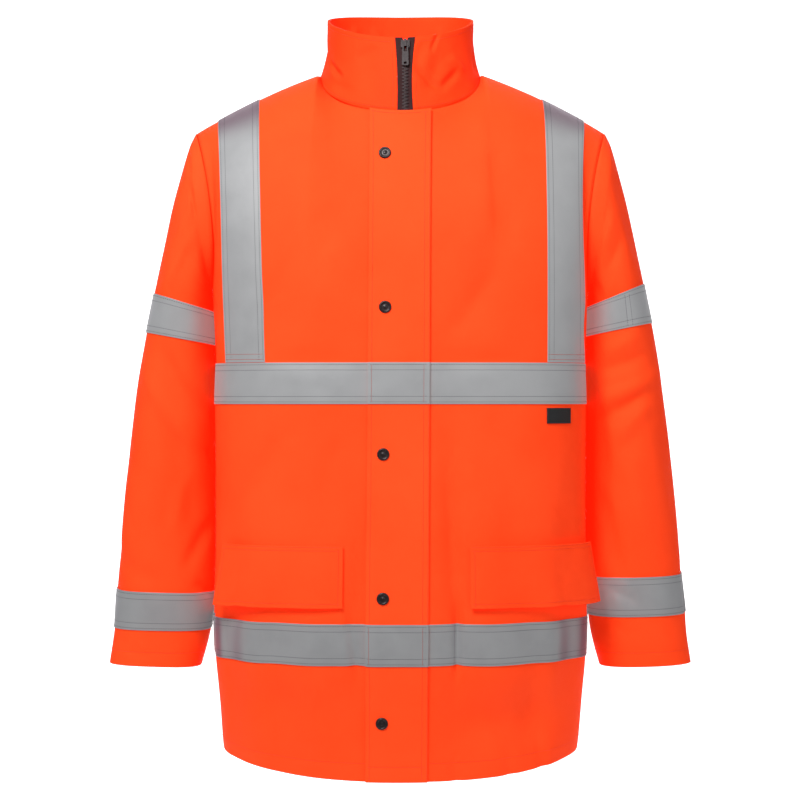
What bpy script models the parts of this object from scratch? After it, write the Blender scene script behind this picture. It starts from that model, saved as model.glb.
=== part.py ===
"""Hi-vis work jacket, filled out as if worn: a hollow shell of sewn cloth pieces.

Metres, +Z up, the front faces -Y and the wearer's left is at +X. The origin is the middle of
the neck, level with the points where the shoulder seams meet the collar.
"""

import math
from collections import namedtuple

import bmesh
import bpy
from mathutils import Matrix, Vector

# ------------------------------------------------------------------ driving dimensions

SEAM_GAP = 0.0003          # clear space between two pieces that are sewn together
SHELL_CLOTH = 0.0015       # outer cloth with its seam allowance
COLLAR_CLOTH = 0.0030      # two layers with interlining
FLAP_CLOTH = 0.0020        # two layers, turned and topstitched
TAPE_CLOTH = 0.0008        # retroreflective tape
TAPE_WIDTH = 0.050
MERGE_DISTANCE = 0.00001   # mesh points nearer than this are one

# Level sections of the body, from the hem to the upper edge of the chest tape.
Section = namedtuple("Section", "height half_width front_depth back_depth roundness")
BODY_SECTIONS = [
    Section(-0.870, 0.2203, 0.151, 0.135, 2.15),
    Section(-0.838, 0.2248, 0.154, 0.137, 2.3),
    Section(-0.777, 0.2299, 0.161, 0.138, 2.4),
    Section(-0.730, 0.2338, 0.167, 0.137, 2.5),
    Section(-0.679, 0.2352, 0.169, 0.135, 2.65),
    Section(-0.600, 0.2330, 0.168, 0.132, 3.0),
    Section(-0.500, 0.2318, 0.166, 0.133, 3.3),
    Section(-0.416, 0.2318, 0.164, 0.138, 3.5),
    Section(-0.366, 0.2318, 0.162, 0.141, 3.5),
]
HEM_SIDE = -0.848          # height of the hem at the side seams
HEM_FRONT_DROP = 0.022     # how much lower it is at the centre front
HEM_BACK_DROP = 0.012
CHEST_TAPE_TOP = -0.366
WAIST_TAPE_TOP = -0.679
LEVELS_BELOW_CHEST = [
    None,                  # the hem, which dips at the centre
    -0.800,
    WAIST_TAPE_TOP - TAPE_WIDTH,
    WAIST_TAPE_TOP,
    -0.600,
    -0.510,
    CHEST_TAPE_TOP - TAPE_WIDTH,
    CHEST_TAPE_TOP,
]
WAIST_ROWS = (2, 3)        # grid rows of the waist tape's edges
CHEST_ROWS = (6, 7)        # grid rows of the chest tape's edges

# Neck, shoulder and armhole.
NECK_HALF_WIDTH = 0.101
NECK_FRONT = (0.110, -0.0585)     # depth and height of the neckline at the centre front
NECK_BACK = (0.084, 0.012)        # and at the centre back
NECK_CURVE = 0.9           # how the neckline's height runs from the centre to the neck point
SHOULDER_SLOPE = 0.340            # the shoulder seam falls this much at the neck end
SHOULDER_CURVE = 0.85             # and this much more for each metre squared
SHOULDER_POINT_X = 0.2575
UNDERARM = Vector((0.2360, 0.0, -0.275))
ARMHOLE_HALF_DEPTH = 0.088
ARMHOLE_ROUNDNESS = 2.2
ARMHOLE_HOLLOW = 0.0135    # the front and back of the armhole are cut in by this much
UNDERARM_RISE = 0.13       # share of the upper panel's rows that lies below the armhole
ARMHOLE_SPREAD = 1.4       # how far in from the armhole its pull on the panel reaches
HOLLOW_SPREAD = 3          # and its pull towards the centre
# Shares of the way round half the armhole at which the body's rows and the sleeve's columns meet.
ARMHOLE_SHARES = [0.0, 0.12, 0.24, 0.37, 0.50, 0.63, 0.75, 0.86, 0.95, 1.0]

# Columns of the body's grid, from the centre out: where each stands on the chest and on the
# top edge. Past the brace's outer edge, turn is the share of the way round to the side seam.
Column = namedtuple("Column", "chest_x top_x turn")
NECK_ANGLES = [14, 30, 50, 70, 90]                   # round the neckline from the centre
NECK_CHEST_X = [0.020, 0.042, 0.070, 0.096, 0.120]   # and below, on the chest
SHOULDER_COLUMN = Column(0.142, 0.140, 0.0)
BRACE_TOP_X = [0.178, 0.204, 0.230]                  # the brace's edges and its middle
BRACE_CHEST_X = [0.1630, 0.1880, 0.2125]
LEFT_BRACE_CHEST_X = [0.1770, 0.2015, 0.2260]        # on the wearer's left front it leans out
BRACE_START = 0.01         # rows between the chest tape's edge and the brace's end
BRACE_ON_FRONT = (7, 9)    # grid columns of the brace's edges on the front, from the centre out
BRACE_ON_BACK = (4, 6)     # and on the back, from the side in
SIDE_TURNS = [0.35, 0.65, 0.92, 1.0]
SIDE_SEAM_COLUMN = Column(BODY_SECTIONS[-1].half_width, SHOULDER_POINT_X, 1.0)
CENTRE_COLUMN = Column(0.0, 0.0, 0.0)

# How a column leaves the chest and arrives at the top edge, as shares of its height and depth.
RISE_AT_CENTRE, RISE_AT_SHOULDER = 1.0, 1.3
ROLL_AT_CENTRE, ROLL_AT_SHOULDER = 1.8, 2.6
STEEPNESS_AT_CENTRE = 0.95

# Collar.
COLLAR_RIM_HALF_WIDTH = 0.0927
COLLAR_RIM_FRONT = 0.084   # depth of the upper edge at the centre front
COLLAR_RIM_BACK = 0.079
COLLAR_RIM_HEIGHT = 0.0703         # of the upper edge at the sides
COLLAR_RIM_TILT = 0.3147           # rise of the upper edge towards the back
COLLAR_RIM_BOW = -1.114            # and its bend, per metre
COLLAR_SIDE_FLARE = 2.6            # how sharply the band's foot turns out over the shoulder
COLLAR_LEVELS = [0.0, 0.12, 0.30, 0.65, 1.0]
COLLAR_ANGLES = NECK_ANGLES + [180 - angle for angle in NECK_ANGLES[-2::-1]] + [180]

# Zip.
ZIP_X = 0.0058
ZIP_GAP_FOOT = 0.0100      # half the open width between the fronts and at the collar's foot
ZIP_GAP_RIM = 0.0128       # half the open width at the collar's upper edge
ZIP_CHAIN_HALF_WIDTH = 0.0031
ZIP_TAPE_DEPTH = 0.0005    # how far the tape lies behind the outer cloth
ZIP_MIDDLE_DEPTH = 0.0009  # the middle of the zip tape's thickness
ZIP_CHAIN_THICKNESS = 0.0026
ZIP_HEM_END = 1            # grid row where the zip stops above the hem
SLIDER_SHARE = 0.905       # how far up the collar the slider stands
CHAIN_TO_SLIDER = 0.0006   # the chain ends this far below the slider

# Storm flap, with five snaps.
FLAP_XS = [-0.0385, -0.014, 0.011, 0.0355]
FLAP_SLANT = (-0.0034, 0.0015)     # how far it stands over at the hem and at the neck
FLAP_LIFT = 0.0015         # clear of the tapes that pass under it
FLAP_BELOW_NECK = 0.02     # rows between the flap's upper edge and the neckline
SNAP_HEIGHTS = [-0.1066, -0.297, -0.476, -0.648, -0.798]
SNAP_X = [-0.0187, -0.0184, -0.0206, -0.0210, -0.0223]

# Pocket flaps: the sewn upper edge, the free lower edge and the inner end.
POCKET_FLAP_TOP, POCKET_FLAP_BOTTOM = -0.586, -0.660
POCKET_FLAP_INNER_RIGHT, POCKET_FLAP_INNER_LEFT = 0.0685, 0.0834
POCKET_FLAP_STAND = 0.0006         # clear of the cloth at the sewn edge
POCKET_FLAP_TIP_LIFT = 0.014       # how far the outer lower corner stands away
POCKET_FLAP_TOP_SHARE = 0.25       # the sewn edge's share of that lift
POCKET_FLAP_BEND = 3               # how late along the flap the lift sets in
POCKET_FLAP_COLUMNS = (3, 9)       # grid columns of its heights and of its outer end

LABEL_X = (0.176, 0.206)
LABEL_COLUMN = 8           # the grid column it lies nearest to
LABEL_HEIGHTS = (-0.4395, -0.4206)

# Sleeve rings. Each is an oval across the arm, through an outer and an inner point.
Ring = namedtuple("Ring", "outer_z outer_x inner_x inner_z half_depth middle_y")
SLEEVE_RINGS = [
    Ring(-0.7430, 0.3692, 0.2535, -0.7470, 0.0520, 0.010),
    Ring(-0.7158, 0.3653, 0.2460, -0.7190, 0.0575, 0.014),
    Ring(-0.6955, 0.3628, 0.2418, -0.6975, 0.0610, 0.017),
    Ring(-0.6548, 0.3592, 0.2380, -0.6580, 0.0680, 0.021),
    Ring(-0.6142, 0.3572, 0.2362, -0.6170, 0.0745, 0.025),
    Ring(-0.5329, 0.3502, 0.2350, -0.5380, 0.0845, 0.029),
    Ring(-0.4516, 0.3412, 0.2347, -0.4600, 0.0920, 0.029),
    Ring(-0.3860, 0.3327, 0.2348, -0.3980, 0.0955, 0.026),
    Ring(-0.3260, 0.3214, 0.2353, -0.3420, 0.0965, 0.020),
    Ring(-0.2768, 0.3106, 0.2365, -0.3000, 0.0960, 0.014),
    Ring(-0.2484, 0.3042, 0.2370, -0.2900, 0.0950, 0.010),
    Ring(-0.2078, 0.2950, 0.2373, -0.2835, 0.0930, 0.007),
    Ring(-0.1672, 0.2858, 0.2374, -0.2805, 0.0915, 0.004),
    Ring(-0.1265, 0.2754, 0.2374, -0.2785, 0.0900, 0.002),
    Ring(-0.0995, 0.2682, 0.2373, -0.2770, 0.0888, 0.001),
    Ring(-0.0855, 0.2636, 0.2372, -0.2760, 0.0882, 0.0),
]
SLEEVE_ROUNDNESS = 2.2
SET_BACK_UNDER, SET_BACK_TOP = 0.0009, 0.0024   # the sleeve's edge from the armhole's
UPPER_TAPE_RIGHT, UPPER_TAPE_LEFT = (-0.3260, -0.2768), (-0.3138, -0.2642)
LOWER_TAPE_RIGHT, LOWER_TAPE_LEFT = (-0.6985, -0.6500), (-0.6810, -0.6310)
SLEEVE_STATIONS = [-0.7430, -0.7158, -0.5950, -0.5329, -0.4516, -0.3860,
                   -0.2078, -0.1600, -0.1150, -0.0855]

# Snap button: a turned cap with a ringed face.
SNAP_RADIUS = 0.0075
SNAP_PROFILE = [(0.0, 0.0016), (0.0030, 0.0016), (0.0038, 0.0010), (0.0050, 0.0010),
                (0.0056, 0.0020), (0.0070, 0.0014), (SNAP_RADIUS, 0.0)]
SNAP_STEPS = 20
SNAP_SPAN = 0.1            # rows and columns over which the flap's slope is taken under a snap
SNAP_STAND = 0.0007        # clear of the flap, whose cloth bends a little under the cap

# Zip slider and pull tab, in the zip's own frame: X across, Y into the cloth, Z along the chain.
SLIDER_WIDTH, SLIDER_LENGTH = 0.0110, 0.0100
SLIDER_PLATE = 0.0014
SLIDER_MOUTH = 0.0010      # from the middle of the tape to a plate
SLIDER_CORE_WIDTH = 0.0024
SLIDER_EDGE = 0.00025
SLIDER_JOINT = 0.0002      # how far the slider's blocks run into each other
BRIDGE_WIDTH, BRIDGE_THICKNESS = 0.0030, 0.0012
BRIDGE_REACH = 0.0053      # from the middle of the tape to the underside of the bridge
PULL_AXIS_REACH = 0.0038   # the hinge's distance from the middle of the tape
PULL_AXIS_HEIGHT = -0.0005
PULL_LENGTH, PULL_THICKNESS = 0.0300, 0.0015
PULL_TOP_WIDTH, PULL_FOOT_WIDTH = 0.0068, 0.0085
PULL_BAR = 0.0018          # height of the cross-bar that the bridge holds
PULL_WINDOW_WIDTH, PULL_WINDOW_LENGTH = 0.0035, 0.0100
PULL_CORNER = 0.0012
PULL_HOLE = 0.0032
PULL_HOLE_HEIGHT = -0.0262

Fabric = namedtuple("Fabric", "name colour roughness metallic")
ORANGE_CLOTH = Fabric("fluorescent_orange_oxford", (1.0, 0.10, 0.02, 1.0), 0.75, 0.0)
GREY_TAPE = Fabric("retroreflective_tape", (0.38, 0.38, 0.40, 1.0), 0.45, 0.0)
ZIP_TAPE = Fabric("woven_zip_tape", (0.075, 0.05, 0.05, 1.0), 0.8, 0.0)
ZIP_RESIN = Fabric("moulded_zip_resin", (0.06, 0.045, 0.045, 1.0), 0.4, 0.0)
GUNMETAL = Fabric("gunmetal", (0.05, 0.04, 0.042, 1.0), 0.35, 0.9)
BLACK_LABEL = Fabric("black_woven_label", (0.012, 0.012, 0.013, 1.0), 0.85, 0.0)


# ------------------------------------------------------------------ curves and tables

def blend(start, end, share):
    return start + (end - start) * share


def smooth_row(table, key):
    """Row of a table at a key in its first column, on a smooth curve through its rows."""
    keys = [row[0] for row in table]
    key = min(max(key, keys[0]), keys[-1])
    upper = next(i for i in range(1, len(keys)) if key <= keys[i])
    near = [table[min(max(i, 0), len(table) - 1)] for i in range(upper - 2, upper + 2)]
    span = near[2][0] - near[1][0]
    share = (key - near[1][0]) / span
    values = []
    for before, low, high, after in zip(*near):
        leave = (high - before) / (near[2][0] - near[0][0]) * span
        arrive = (after - low) / (near[3][0] - near[1][0]) * span
        values.append(hermite(low, leave, high, arrive, share))
    return type(table[0])(*values)


def hermite(start, leave, end, arrive, share):
    """Point on a cubic between two points with a given pull at each."""
    square, cube = share ** 2, share ** 3
    return (start * (2 * cube - 3 * square + 1) + leave * (cube - 2 * square + share)
            + end * (3 * square - 2 * cube) + arrive * (cube - square))


def oval(angle, roundness):
    """Across and along parts of a superellipse of half-size 1, by its polar angle."""
    across, along = math.sin(angle), math.cos(angle)
    reach = (abs(across) ** roundness + abs(along) ** roundness) ** (-1 / roundness)
    return across * reach, along * reach


# ------------------------------------------------------------------ body

def section_angle(share, roundness):
    """Polar angle where a superellipse stands at a share of its half-width."""
    if share <= 0.0:
        return 0.0
    return math.atan2(1.0, (share ** -roundness - 1) ** (1 / roundness))


def section_point(face, level, column):
    """Point of a level section. face is -1 at the front and 1 at the back."""
    section = smooth_row(BODY_SECTIONS, HEM_SIDE if level is None else level)
    share = column.chest_x / BODY_SECTIONS[-1].half_width
    angle = section_angle(share, section.roundness)
    angle = blend(angle, math.pi / 2, column.turn)
    across, along = oval(angle, section.roundness)
    depth = section.front_depth if face < 0 else section.back_depth
    height = level
    if level is None:
        drop = HEM_FRONT_DROP if face < 0 else HEM_BACK_DROP
        height = HEM_SIDE - drop * along ** 2
    return Vector((across * section.half_width, face * depth * along, height))


def shoulder_height(x):
    run = x - NECK_HALF_WIDTH
    return -SHOULDER_SLOPE * run - SHOULDER_CURVE * run ** 2


def neckline_point(face, angle):
    """Point of the neckline. The angle is 0 at the centre and 90 degrees at the neck point."""
    depth, height = NECK_FRONT if face < 0 else NECK_BACK
    along = max(math.cos(angle), 0.0)
    return Vector((NECK_HALF_WIDTH * math.sin(angle), face * depth * along, height * along ** NECK_CURVE))


def top_edge_point(face, x):
    if x < NECK_HALF_WIDTH:
        return neckline_point(face, math.asin(x / NECK_HALF_WIDTH))
    return Vector((x, 0.0, shoulder_height(x)))


def armhole_point(face, rise):
    """Point of the side edge: up the side seam, then round half of the armhole."""
    if rise <= UNDERARM_RISE:
        foot = Vector((BODY_SECTIONS[-1].half_width, 0.0, CHEST_TAPE_TOP))
        return blend(foot, UNDERARM, rise / UNDERARM_RISE)
    shoulder = Vector((SHOULDER_POINT_X, 0.0, shoulder_height(SHOULDER_POINT_X)))
    middle, half = (shoulder + UNDERARM) / 2, (shoulder - UNDERARM) / 2
    angle = math.pi * (1 - (rise - UNDERARM_RISE) / (1 - UNDERARM_RISE))
    across, along = oval(angle, ARMHOLE_ROUNDNESS)
    edge = middle + half * along
    edge.x -= ARMHOLE_HOLLOW * across ** 2
    edge.y += face * ARMHOLE_HALF_DEPTH * across
    return edge


def rolled_point(face, column, rise):
    """Point on a column that rises from the chest and rolls over to the top edge."""
    start = section_point(face, CHEST_TAPE_TOP, column)
    end = top_edge_point(face, column.top_x)
    run = end - start
    centre = max(1 - (column.top_x / NECK_HALF_WIDTH) ** 2, 0.0)
    leave = Vector((run.x, 0.0, run.z * blend(RISE_AT_SHOULDER, RISE_AT_CENTRE, centre)))
    arrive = Vector((run.x, run.y * blend(ROLL_AT_SHOULDER, ROLL_AT_CENTRE, centre),
                     run.z * STEEPNESS_AT_CENTRE * centre))
    return hermite(start, leave, end, arrive, rise)


def side_column(outer, turn):
    """Column between the brace's outer edge and the side seam."""
    return Column(outer.chest_x, blend(outer.top_x, SHOULDER_POINT_X, turn), turn)


def upper_point(face, column, rise):
    """Point on a column, pulled towards the armhole's outline the nearer it is to the side."""
    pull = armhole_point(face, rise) - rolled_point(face, SIDE_SEAM_COLUMN, rise)
    depth = section_point(face, CHEST_TAPE_TOP, column).y / section_point(
        face, CHEST_TAPE_TOP, CENTRE_COLUMN).y
    spread = (1 - depth) ** ARMHOLE_SPREAD
    inward = (1 - depth ** 2) ** HOLLOW_SPREAD
    return rolled_point(face, column, rise) + Vector(
        (pull.x * inward, pull.y * spread, pull.z * spread))


def upper_rises():
    """Shares of the way up at which the upper rows stand: two below the armhole, then round it."""
    return [UNDERARM_RISE / 2] + [blend(UNDERARM_RISE, 1.0, share) for share in ARMHOLE_SHARES]


def body_column(face, column):
    """One column of the body from the hem to the top edge."""
    lower = [section_point(face, level, column) for level in LEVELS_BELOW_CHEST]
    upper = [upper_point(face, column, rise) for rise in upper_rises()]
    points = lower + upper
    for point in points:
        point.y += face * SEAM_GAP / 2
    return points


def half_body_columns(brace_chest_x=BRACE_CHEST_X):
    neck = [Column(chest_x, NECK_HALF_WIDTH * math.sin(math.radians(angle)), 0.0)
            for angle, chest_x in zip(NECK_ANGLES, NECK_CHEST_X)]
    brace = [Column(chest_x, top_x, 0.0) for chest_x, top_x in zip(brace_chest_x, BRACE_TOP_X)]
    sides = [side_column(brace[-1], turn) for turn in SIDE_TURNS]
    return neck + [SHOULDER_COLUMN] + brace + sides


def mirrored(point):
    return Vector((-point.x, point.y, point.z))


def centre_column(face, x):
    """Column near the centre at the same distance from it all the way up."""
    points = body_column(face, Column(abs(x), abs(x), 0.0))
    for point in points:
        point.x = x
    return points


def rows_from(columns):
    return [list(row) for row in zip(*columns)]


def front_grid(side):
    """Front panel. side is -1 for the wearer's right and 1 for the left."""
    edge = centre_column(-1, ZIP_X + side * ZIP_GAP_FOOT)
    brace_chest_x = LEFT_BRACE_CHEST_X if side > 0 else BRACE_CHEST_X
    columns = [body_column(-1, column) for column in half_body_columns(brace_chest_x)]
    if side > 0:
        return rows_from([edge] + columns)
    turned = [[mirrored(point) for point in column] for column in reversed(columns)]
    return rows_from(turned + [edge])


def back_grid():
    half = [body_column(1, column) for column in half_body_columns()]
    middle = centre_column(1, 0.0)
    other_half = [[mirrored(point) for point in column] for column in half]
    return rows_from(list(reversed(half)) + [middle] + other_half)


# ------------------------------------------------------------------ collar

def collar_point(angle, height_share):
    """Point of the collar. The angle runs from the centre front, 0, to the centre back."""
    face = -1 if math.cos(angle) > 0 else 1
    foot = neckline_point(face, angle if face < 0 else math.pi - angle)
    rim_depth = COLLAR_RIM_FRONT if face < 0 else COLLAR_RIM_BACK
    rim_y = -rim_depth * math.cos(angle)
    rim_z = COLLAR_RIM_HEIGHT + COLLAR_RIM_TILT * rim_y + COLLAR_RIM_BOW * rim_y ** 2
    rim = Vector((COLLAR_RIM_HALF_WIDTH * math.sin(angle), rim_y, rim_z))
    flare = (1 - height_share) ** (1 + COLLAR_SIDE_FLARE * math.sin(angle) ** 2)
    point = rim + (foot - rim) * flare
    point.z = blend(foot.z + SEAM_GAP, rim.z, height_share)
    return point


def collar_edge_x(side, height_share):
    return ZIP_X + side * blend(ZIP_GAP_FOOT, ZIP_GAP_RIM, height_share)


def collar_at(x, height_share):
    """Point of the collar's front at a distance from the centre."""
    half_width = blend(NECK_HALF_WIDTH, COLLAR_RIM_HALF_WIDTH, height_share)
    point = collar_point(math.asin(abs(x) / half_width), height_share)
    point.x = x
    return point


def collar_grid():
    """Band from the wearer's right front edge round the back to the left front edge."""
    rows = []
    for share in COLLAR_LEVELS:
        half = [collar_point(math.radians(angle), share) for angle in COLLAR_ANGLES]
        other = [mirrored(point) for point in half[:-1]]
        left_edge = collar_at(collar_edge_x(1, share), share)
        right_edge = collar_at(collar_edge_x(-1, share), share)
        rows.append([left_edge] + half + list(reversed(other)) + [right_edge])
    return rows


# ------------------------------------------------------------------ sleeves

def sleeve_ring_point(ring, angle):
    """Point of a ring. The angle is 0 at the outer side, and the front is positive."""
    outer = Vector((ring.outer_x, ring.middle_y, ring.outer_z))
    inner = Vector((ring.inner_x, ring.middle_y, ring.inner_z))
    across, along = oval(angle, SLEEVE_ROUNDNESS)
    middle, half = (outer + inner) / 2, (outer - inner) / 2
    return middle + half * along - Vector((0.0, ring.half_depth * across, 0.0))


def sleeve_angles():
    """Angles of a ring's points, which meet the armhole's grid rows: underarm, front, back."""
    front = [math.pi * (1 - share) for share in ARMHOLE_SHARES]
    return front + [-angle for angle in reversed(front[1:-1])]


def sleeve_grid(side, upper_tape, lower_tape):
    """Sleeve from the cuff up to the armhole, with rings on the edges of its two tapes."""
    stations = sorted(SLEEVE_STATIONS + list(upper_tape) + list(lower_tape))
    rows = []
    for station in stations:
        ring = smooth_row(SLEEVE_RINGS, station)
        rows.append([sleeve_ring_point(ring, angle) for angle in sleeve_angles()])
    rows.append(armhole_ring())
    if side < 0:
        rows = [[mirrored(point) for point in [row[0]] + row[:0:-1]] for row in rows]
    return rows, stations


def armhole_ring():
    """The armhole's outline, set back a little along the arm so that the seam stays clear."""
    half = []
    for face in (-1, 1):
        for share in ARMHOLE_SHARES:
            edge = armhole_point(face, blend(UNDERARM_RISE, 1.0, share))
            edge.x += blend(SET_BACK_UNDER, SET_BACK_TOP, share)
            half.append(edge)
    count = len(ARMHOLE_SHARES)
    return half[:count] + half[:count - 1:-1][1:-1]


# ------------------------------------------------------------------ layers on a grid

def grid_normals(grid, closed):
    """Outward unit normals of a grid, from the neighbours on each side of a point."""
    count = len(grid[0])
    normals = []
    for index, row in enumerate(grid):
        below, above = grid[max(index - 1, 0)], grid[min(index + 1, len(grid) - 1)]
        line = []
        for c in range(count):
            before = row[c - 1] if closed else row[max(c - 1, 0)]
            after = row[(c + 1) % count] if closed else row[min(c + 1, count - 1)]
            line.append((after - before).cross(above[c] - below[c]).normalized())
        normals.append(line)
    return normals


def moved_out(grid, distance, closed=False):
    """The grid moved out along its normals, by one distance or by a distance for each point."""
    normals = grid_normals(grid, closed)
    moved = []
    for r, (row, line) in enumerate(zip(grid, normals)):
        reach = distance if callable(distance) else lambda *_: distance
        moved.append([point + normal * reach(r, c)
                      for c, (point, normal) in enumerate(zip(row, line))])
    return moved


def stations_between(first, last):
    """Grid lines from first to last, which may stand between two lines."""
    inner = [k for k in range(math.ceil(first), math.floor(last) + 1) if first < k < last]
    return [first] + inner + [last]


def grid_point(grid, row, column):
    """Point at a place in a grid, on the straight lines between its points."""
    r, c = min(int(row), len(grid) - 2), min(int(column), len(grid[0]) - 2)
    low = blend(grid[r][c], grid[r][c + 1], column - c)
    high = blend(grid[r + 1][c], grid[r + 1][c + 1], column - c)
    return blend(low, high, row - r)


def patch(grid, rows, columns):
    """Part of a grid between two rows and two columns."""
    return [[grid_point(grid, row, column) for column in stations_between(*columns)]
            for row in stations_between(*rows)]


def row_at_height(grid, column, height):
    """Place of a height on a column, counted in rows."""
    for row in range(len(grid) - 1):
        low, high = grid[row][column].z, grid[row + 1][column].z
        if low <= height <= high:
            return row + (height - low) / (high - low)
    raise ValueError("no such height on this column")


def column_at_x(grid, row, x):
    """Place of an x on a row, counted in columns."""
    for column in range(len(grid[0]) - 1):
        low, high = grid_point(grid, row, column).x, grid_point(grid, row, column + 1).x
        if min(low, high) <= x <= max(low, high):
            return column + (x - low) / (high - low)
    raise ValueError("no such x on this row")


# ------------------------------------------------------------------ making objects

def clear_scene():
    for thing in list(bpy.data.objects):
        bpy.data.objects.remove(thing, do_unlink=True)


def new_collection(name):
    collection = bpy.data.collections.new(name)
    bpy.context.scene.collection.children.link(collection)
    return collection


def material_of(fabric):
    material = bpy.data.materials.get(fabric.name)
    if material is None:
        material = bpy.data.materials.new(fabric.name)
        material.use_nodes = True
        shader = material.node_tree.nodes["Principled BSDF"]
        shader.inputs["Base Color"].default_value = fabric.colour
        shader.inputs["Roughness"].default_value = fabric.roughness
        shader.inputs["Metallic"].default_value = fabric.metallic
        material.diffuse_color = fabric.colour
    return material


def place(name, mesh, fabric, collection):
    thing = bpy.data.objects.new(name, mesh)
    mesh.materials.append(material_of(fabric))
    collection.objects.link(thing)
    return thing


def sheet(name, grid, thickness, fabric, closed=False, outward=False):
    """Cloth on a grid. Solidify gives its thickness, inward unless it lies on another piece."""
    mesh = bpy.data.meshes.new(name)
    bm = bmesh.new()
    lines = [[bm.verts.new(point) for point in row] for row in grid]
    count = len(grid[0])
    for low, high in zip(lines, lines[1:]):
        for c in range(count if closed else count - 1):
            after = (c + 1) % count
            bm.faces.new((low[c], low[after], high[after]))
            bm.faces.new((low[c], high[after], high[c]))
    bm.to_mesh(mesh)
    bm.free()
    mesh.shade_smooth()
    thing = place(name, mesh, fabric, jacket)
    solidify = thing.modifiers.new("thickness", "SOLIDIFY")
    solidify.thickness = thickness
    solidify.offset = 1.0 if outward else -1.0
    solidify.use_even_offset = True
    return thing


def tape(name, grid, closed=False, under=0.0):
    """Reflective tape that lies on a grid, or on a layer of a given height over it."""
    return sheet(name, moved_out(grid, under + SEAM_GAP, closed), TAPE_CLOTH, GREY_TAPE,
                 closed=closed, outward=True)


# ------------------------------------------------------------------ the jacket's pieces

def make_front(side, name, chest_name, waist_name):
    grid = front_grid(side)
    sheet(name, grid, SHELL_CLOTH, ORANGE_CLOTH)
    columns = (0, len(grid[0]) - 1)
    tape(chest_name, patch(grid, CHEST_ROWS, columns))
    tape(waist_name, patch(grid, WAIST_ROWS, columns))
    return grid


def make_back():
    grid = back_grid()
    sheet("back", grid, SHELL_CLOTH, ORANGE_CLOTH)
    columns = (0, len(grid[0]) - 1)
    tape("chest_tape_back", patch(grid, CHEST_ROWS, columns))
    tape("waist_tape_back", patch(grid, WAIST_ROWS, columns))
    return grid


def from_other_side(grid, columns):
    """The same pair of columns, counted from the other side of a grid."""
    last = len(grid[0]) - 1
    return last - columns[1], last - columns[0]


def make_brace(name, front, back, front_columns, back_columns):
    """Tape from the chest tape over the shoulder seam to the chest tape on the back."""
    rows = (CHEST_ROWS[1] + BRACE_START, len(front) - 1)
    over_front = moved_out(front, SEAM_GAP)
    over_back = moved_out(back, SEAM_GAP)
    front_rows = patch(over_front, rows, front_columns)
    back_rows = patch(over_back, rows, back_columns)
    down_the_back = [list(reversed(row)) for row in reversed(back_rows[:-1])]
    sheet(name, front_rows + down_the_back, TAPE_CLOTH, GREY_TAPE, outward=True)


def make_sleeve(side, name, upper_tape, lower_tape):
    grid, stations = sleeve_grid(side, upper_tape, lower_tape)
    sheet(name, grid, SHELL_CLOTH, ORANGE_CLOTH, closed=True)
    for suffix, edges in (("upper", upper_tape), ("lower", lower_tape)):
        first, last = stations.index(edges[0]), stations.index(edges[1])
        tape(name.replace("sleeve", "sleeve_tape") + "_" + suffix, grid[first:last + 1],
             closed=True)


def make_storm_flap(neck_row):
    """Flap over the zip, sewn down along the wearer's left and snapped along the right."""
    grid = rows_from([centre_column(-1, x) for x in FLAP_XS])
    for row in grid:
        for point in row:
            up = (point.z - HEM_SIDE) / (NECK_FRONT[1] - HEM_SIDE)
            point.x += blend(*FLAP_SLANT, min(max(up, 0.0), 1.0))
    columns = (0, len(FLAP_XS) - 1)
    body = patch(grid, (0, neck_row - FLAP_BELOW_NECK), columns)
    sheet("storm_flap", moved_out(body, FLAP_LIFT), FLAP_CLOTH, ORANGE_CLOTH, outward=True)
    top = FLAP_LIFT + FLAP_CLOTH
    tape("chest_tape_flap", patch(grid, CHEST_ROWS, columns), under=top)
    tape("waist_tape_flap", patch(grid, WAIST_ROWS, columns), under=top)
    surface = moved_out(grid, top + SNAP_STAND)
    for index, (height, x) in enumerate(zip(SNAP_HEIGHTS, SNAP_X)):
        row = row_at_height(grid, 0, height)
        column = column_at_x(grid, row, x)
        point = grid_point(surface, row, column)
        low, high = (grid_point(surface, row + step, column) for step in (-SNAP_SPAN, SNAP_SPAN))
        near, far = (grid_point(surface, row, column + step) for step in (-SNAP_SPAN, SNAP_SPAN))
        make_snap(f"snap_{index + 1}", point, (far - near).cross(high - low))


def make_snap(name, point, outward):
    mesh = bpy.data.meshes.new(name)
    bm = bmesh.new()
    profile = [bm.verts.new((radius, 0.0, height)) for radius, height in SNAP_PROFILE]
    profile.append(bm.verts.new((0.0, 0.0, 0.0)))
    for first, second in zip(profile, profile[1:]):
        bm.edges.new((first, second))
    bm.to_mesh(mesh)
    bm.free()
    snap = place(name, mesh, GUNMETAL, jacket)
    screw = snap.modifiers.new("turn", "SCREW")
    screw.steps = SNAP_STEPS
    screw.render_steps = SNAP_STEPS
    screw.use_merge_vertices = True
    screw.merge_threshold = MERGE_DISTANCE
    snap.location = point
    snap.rotation_euler = outward.to_track_quat("Z", "Y").to_euler()


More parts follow.
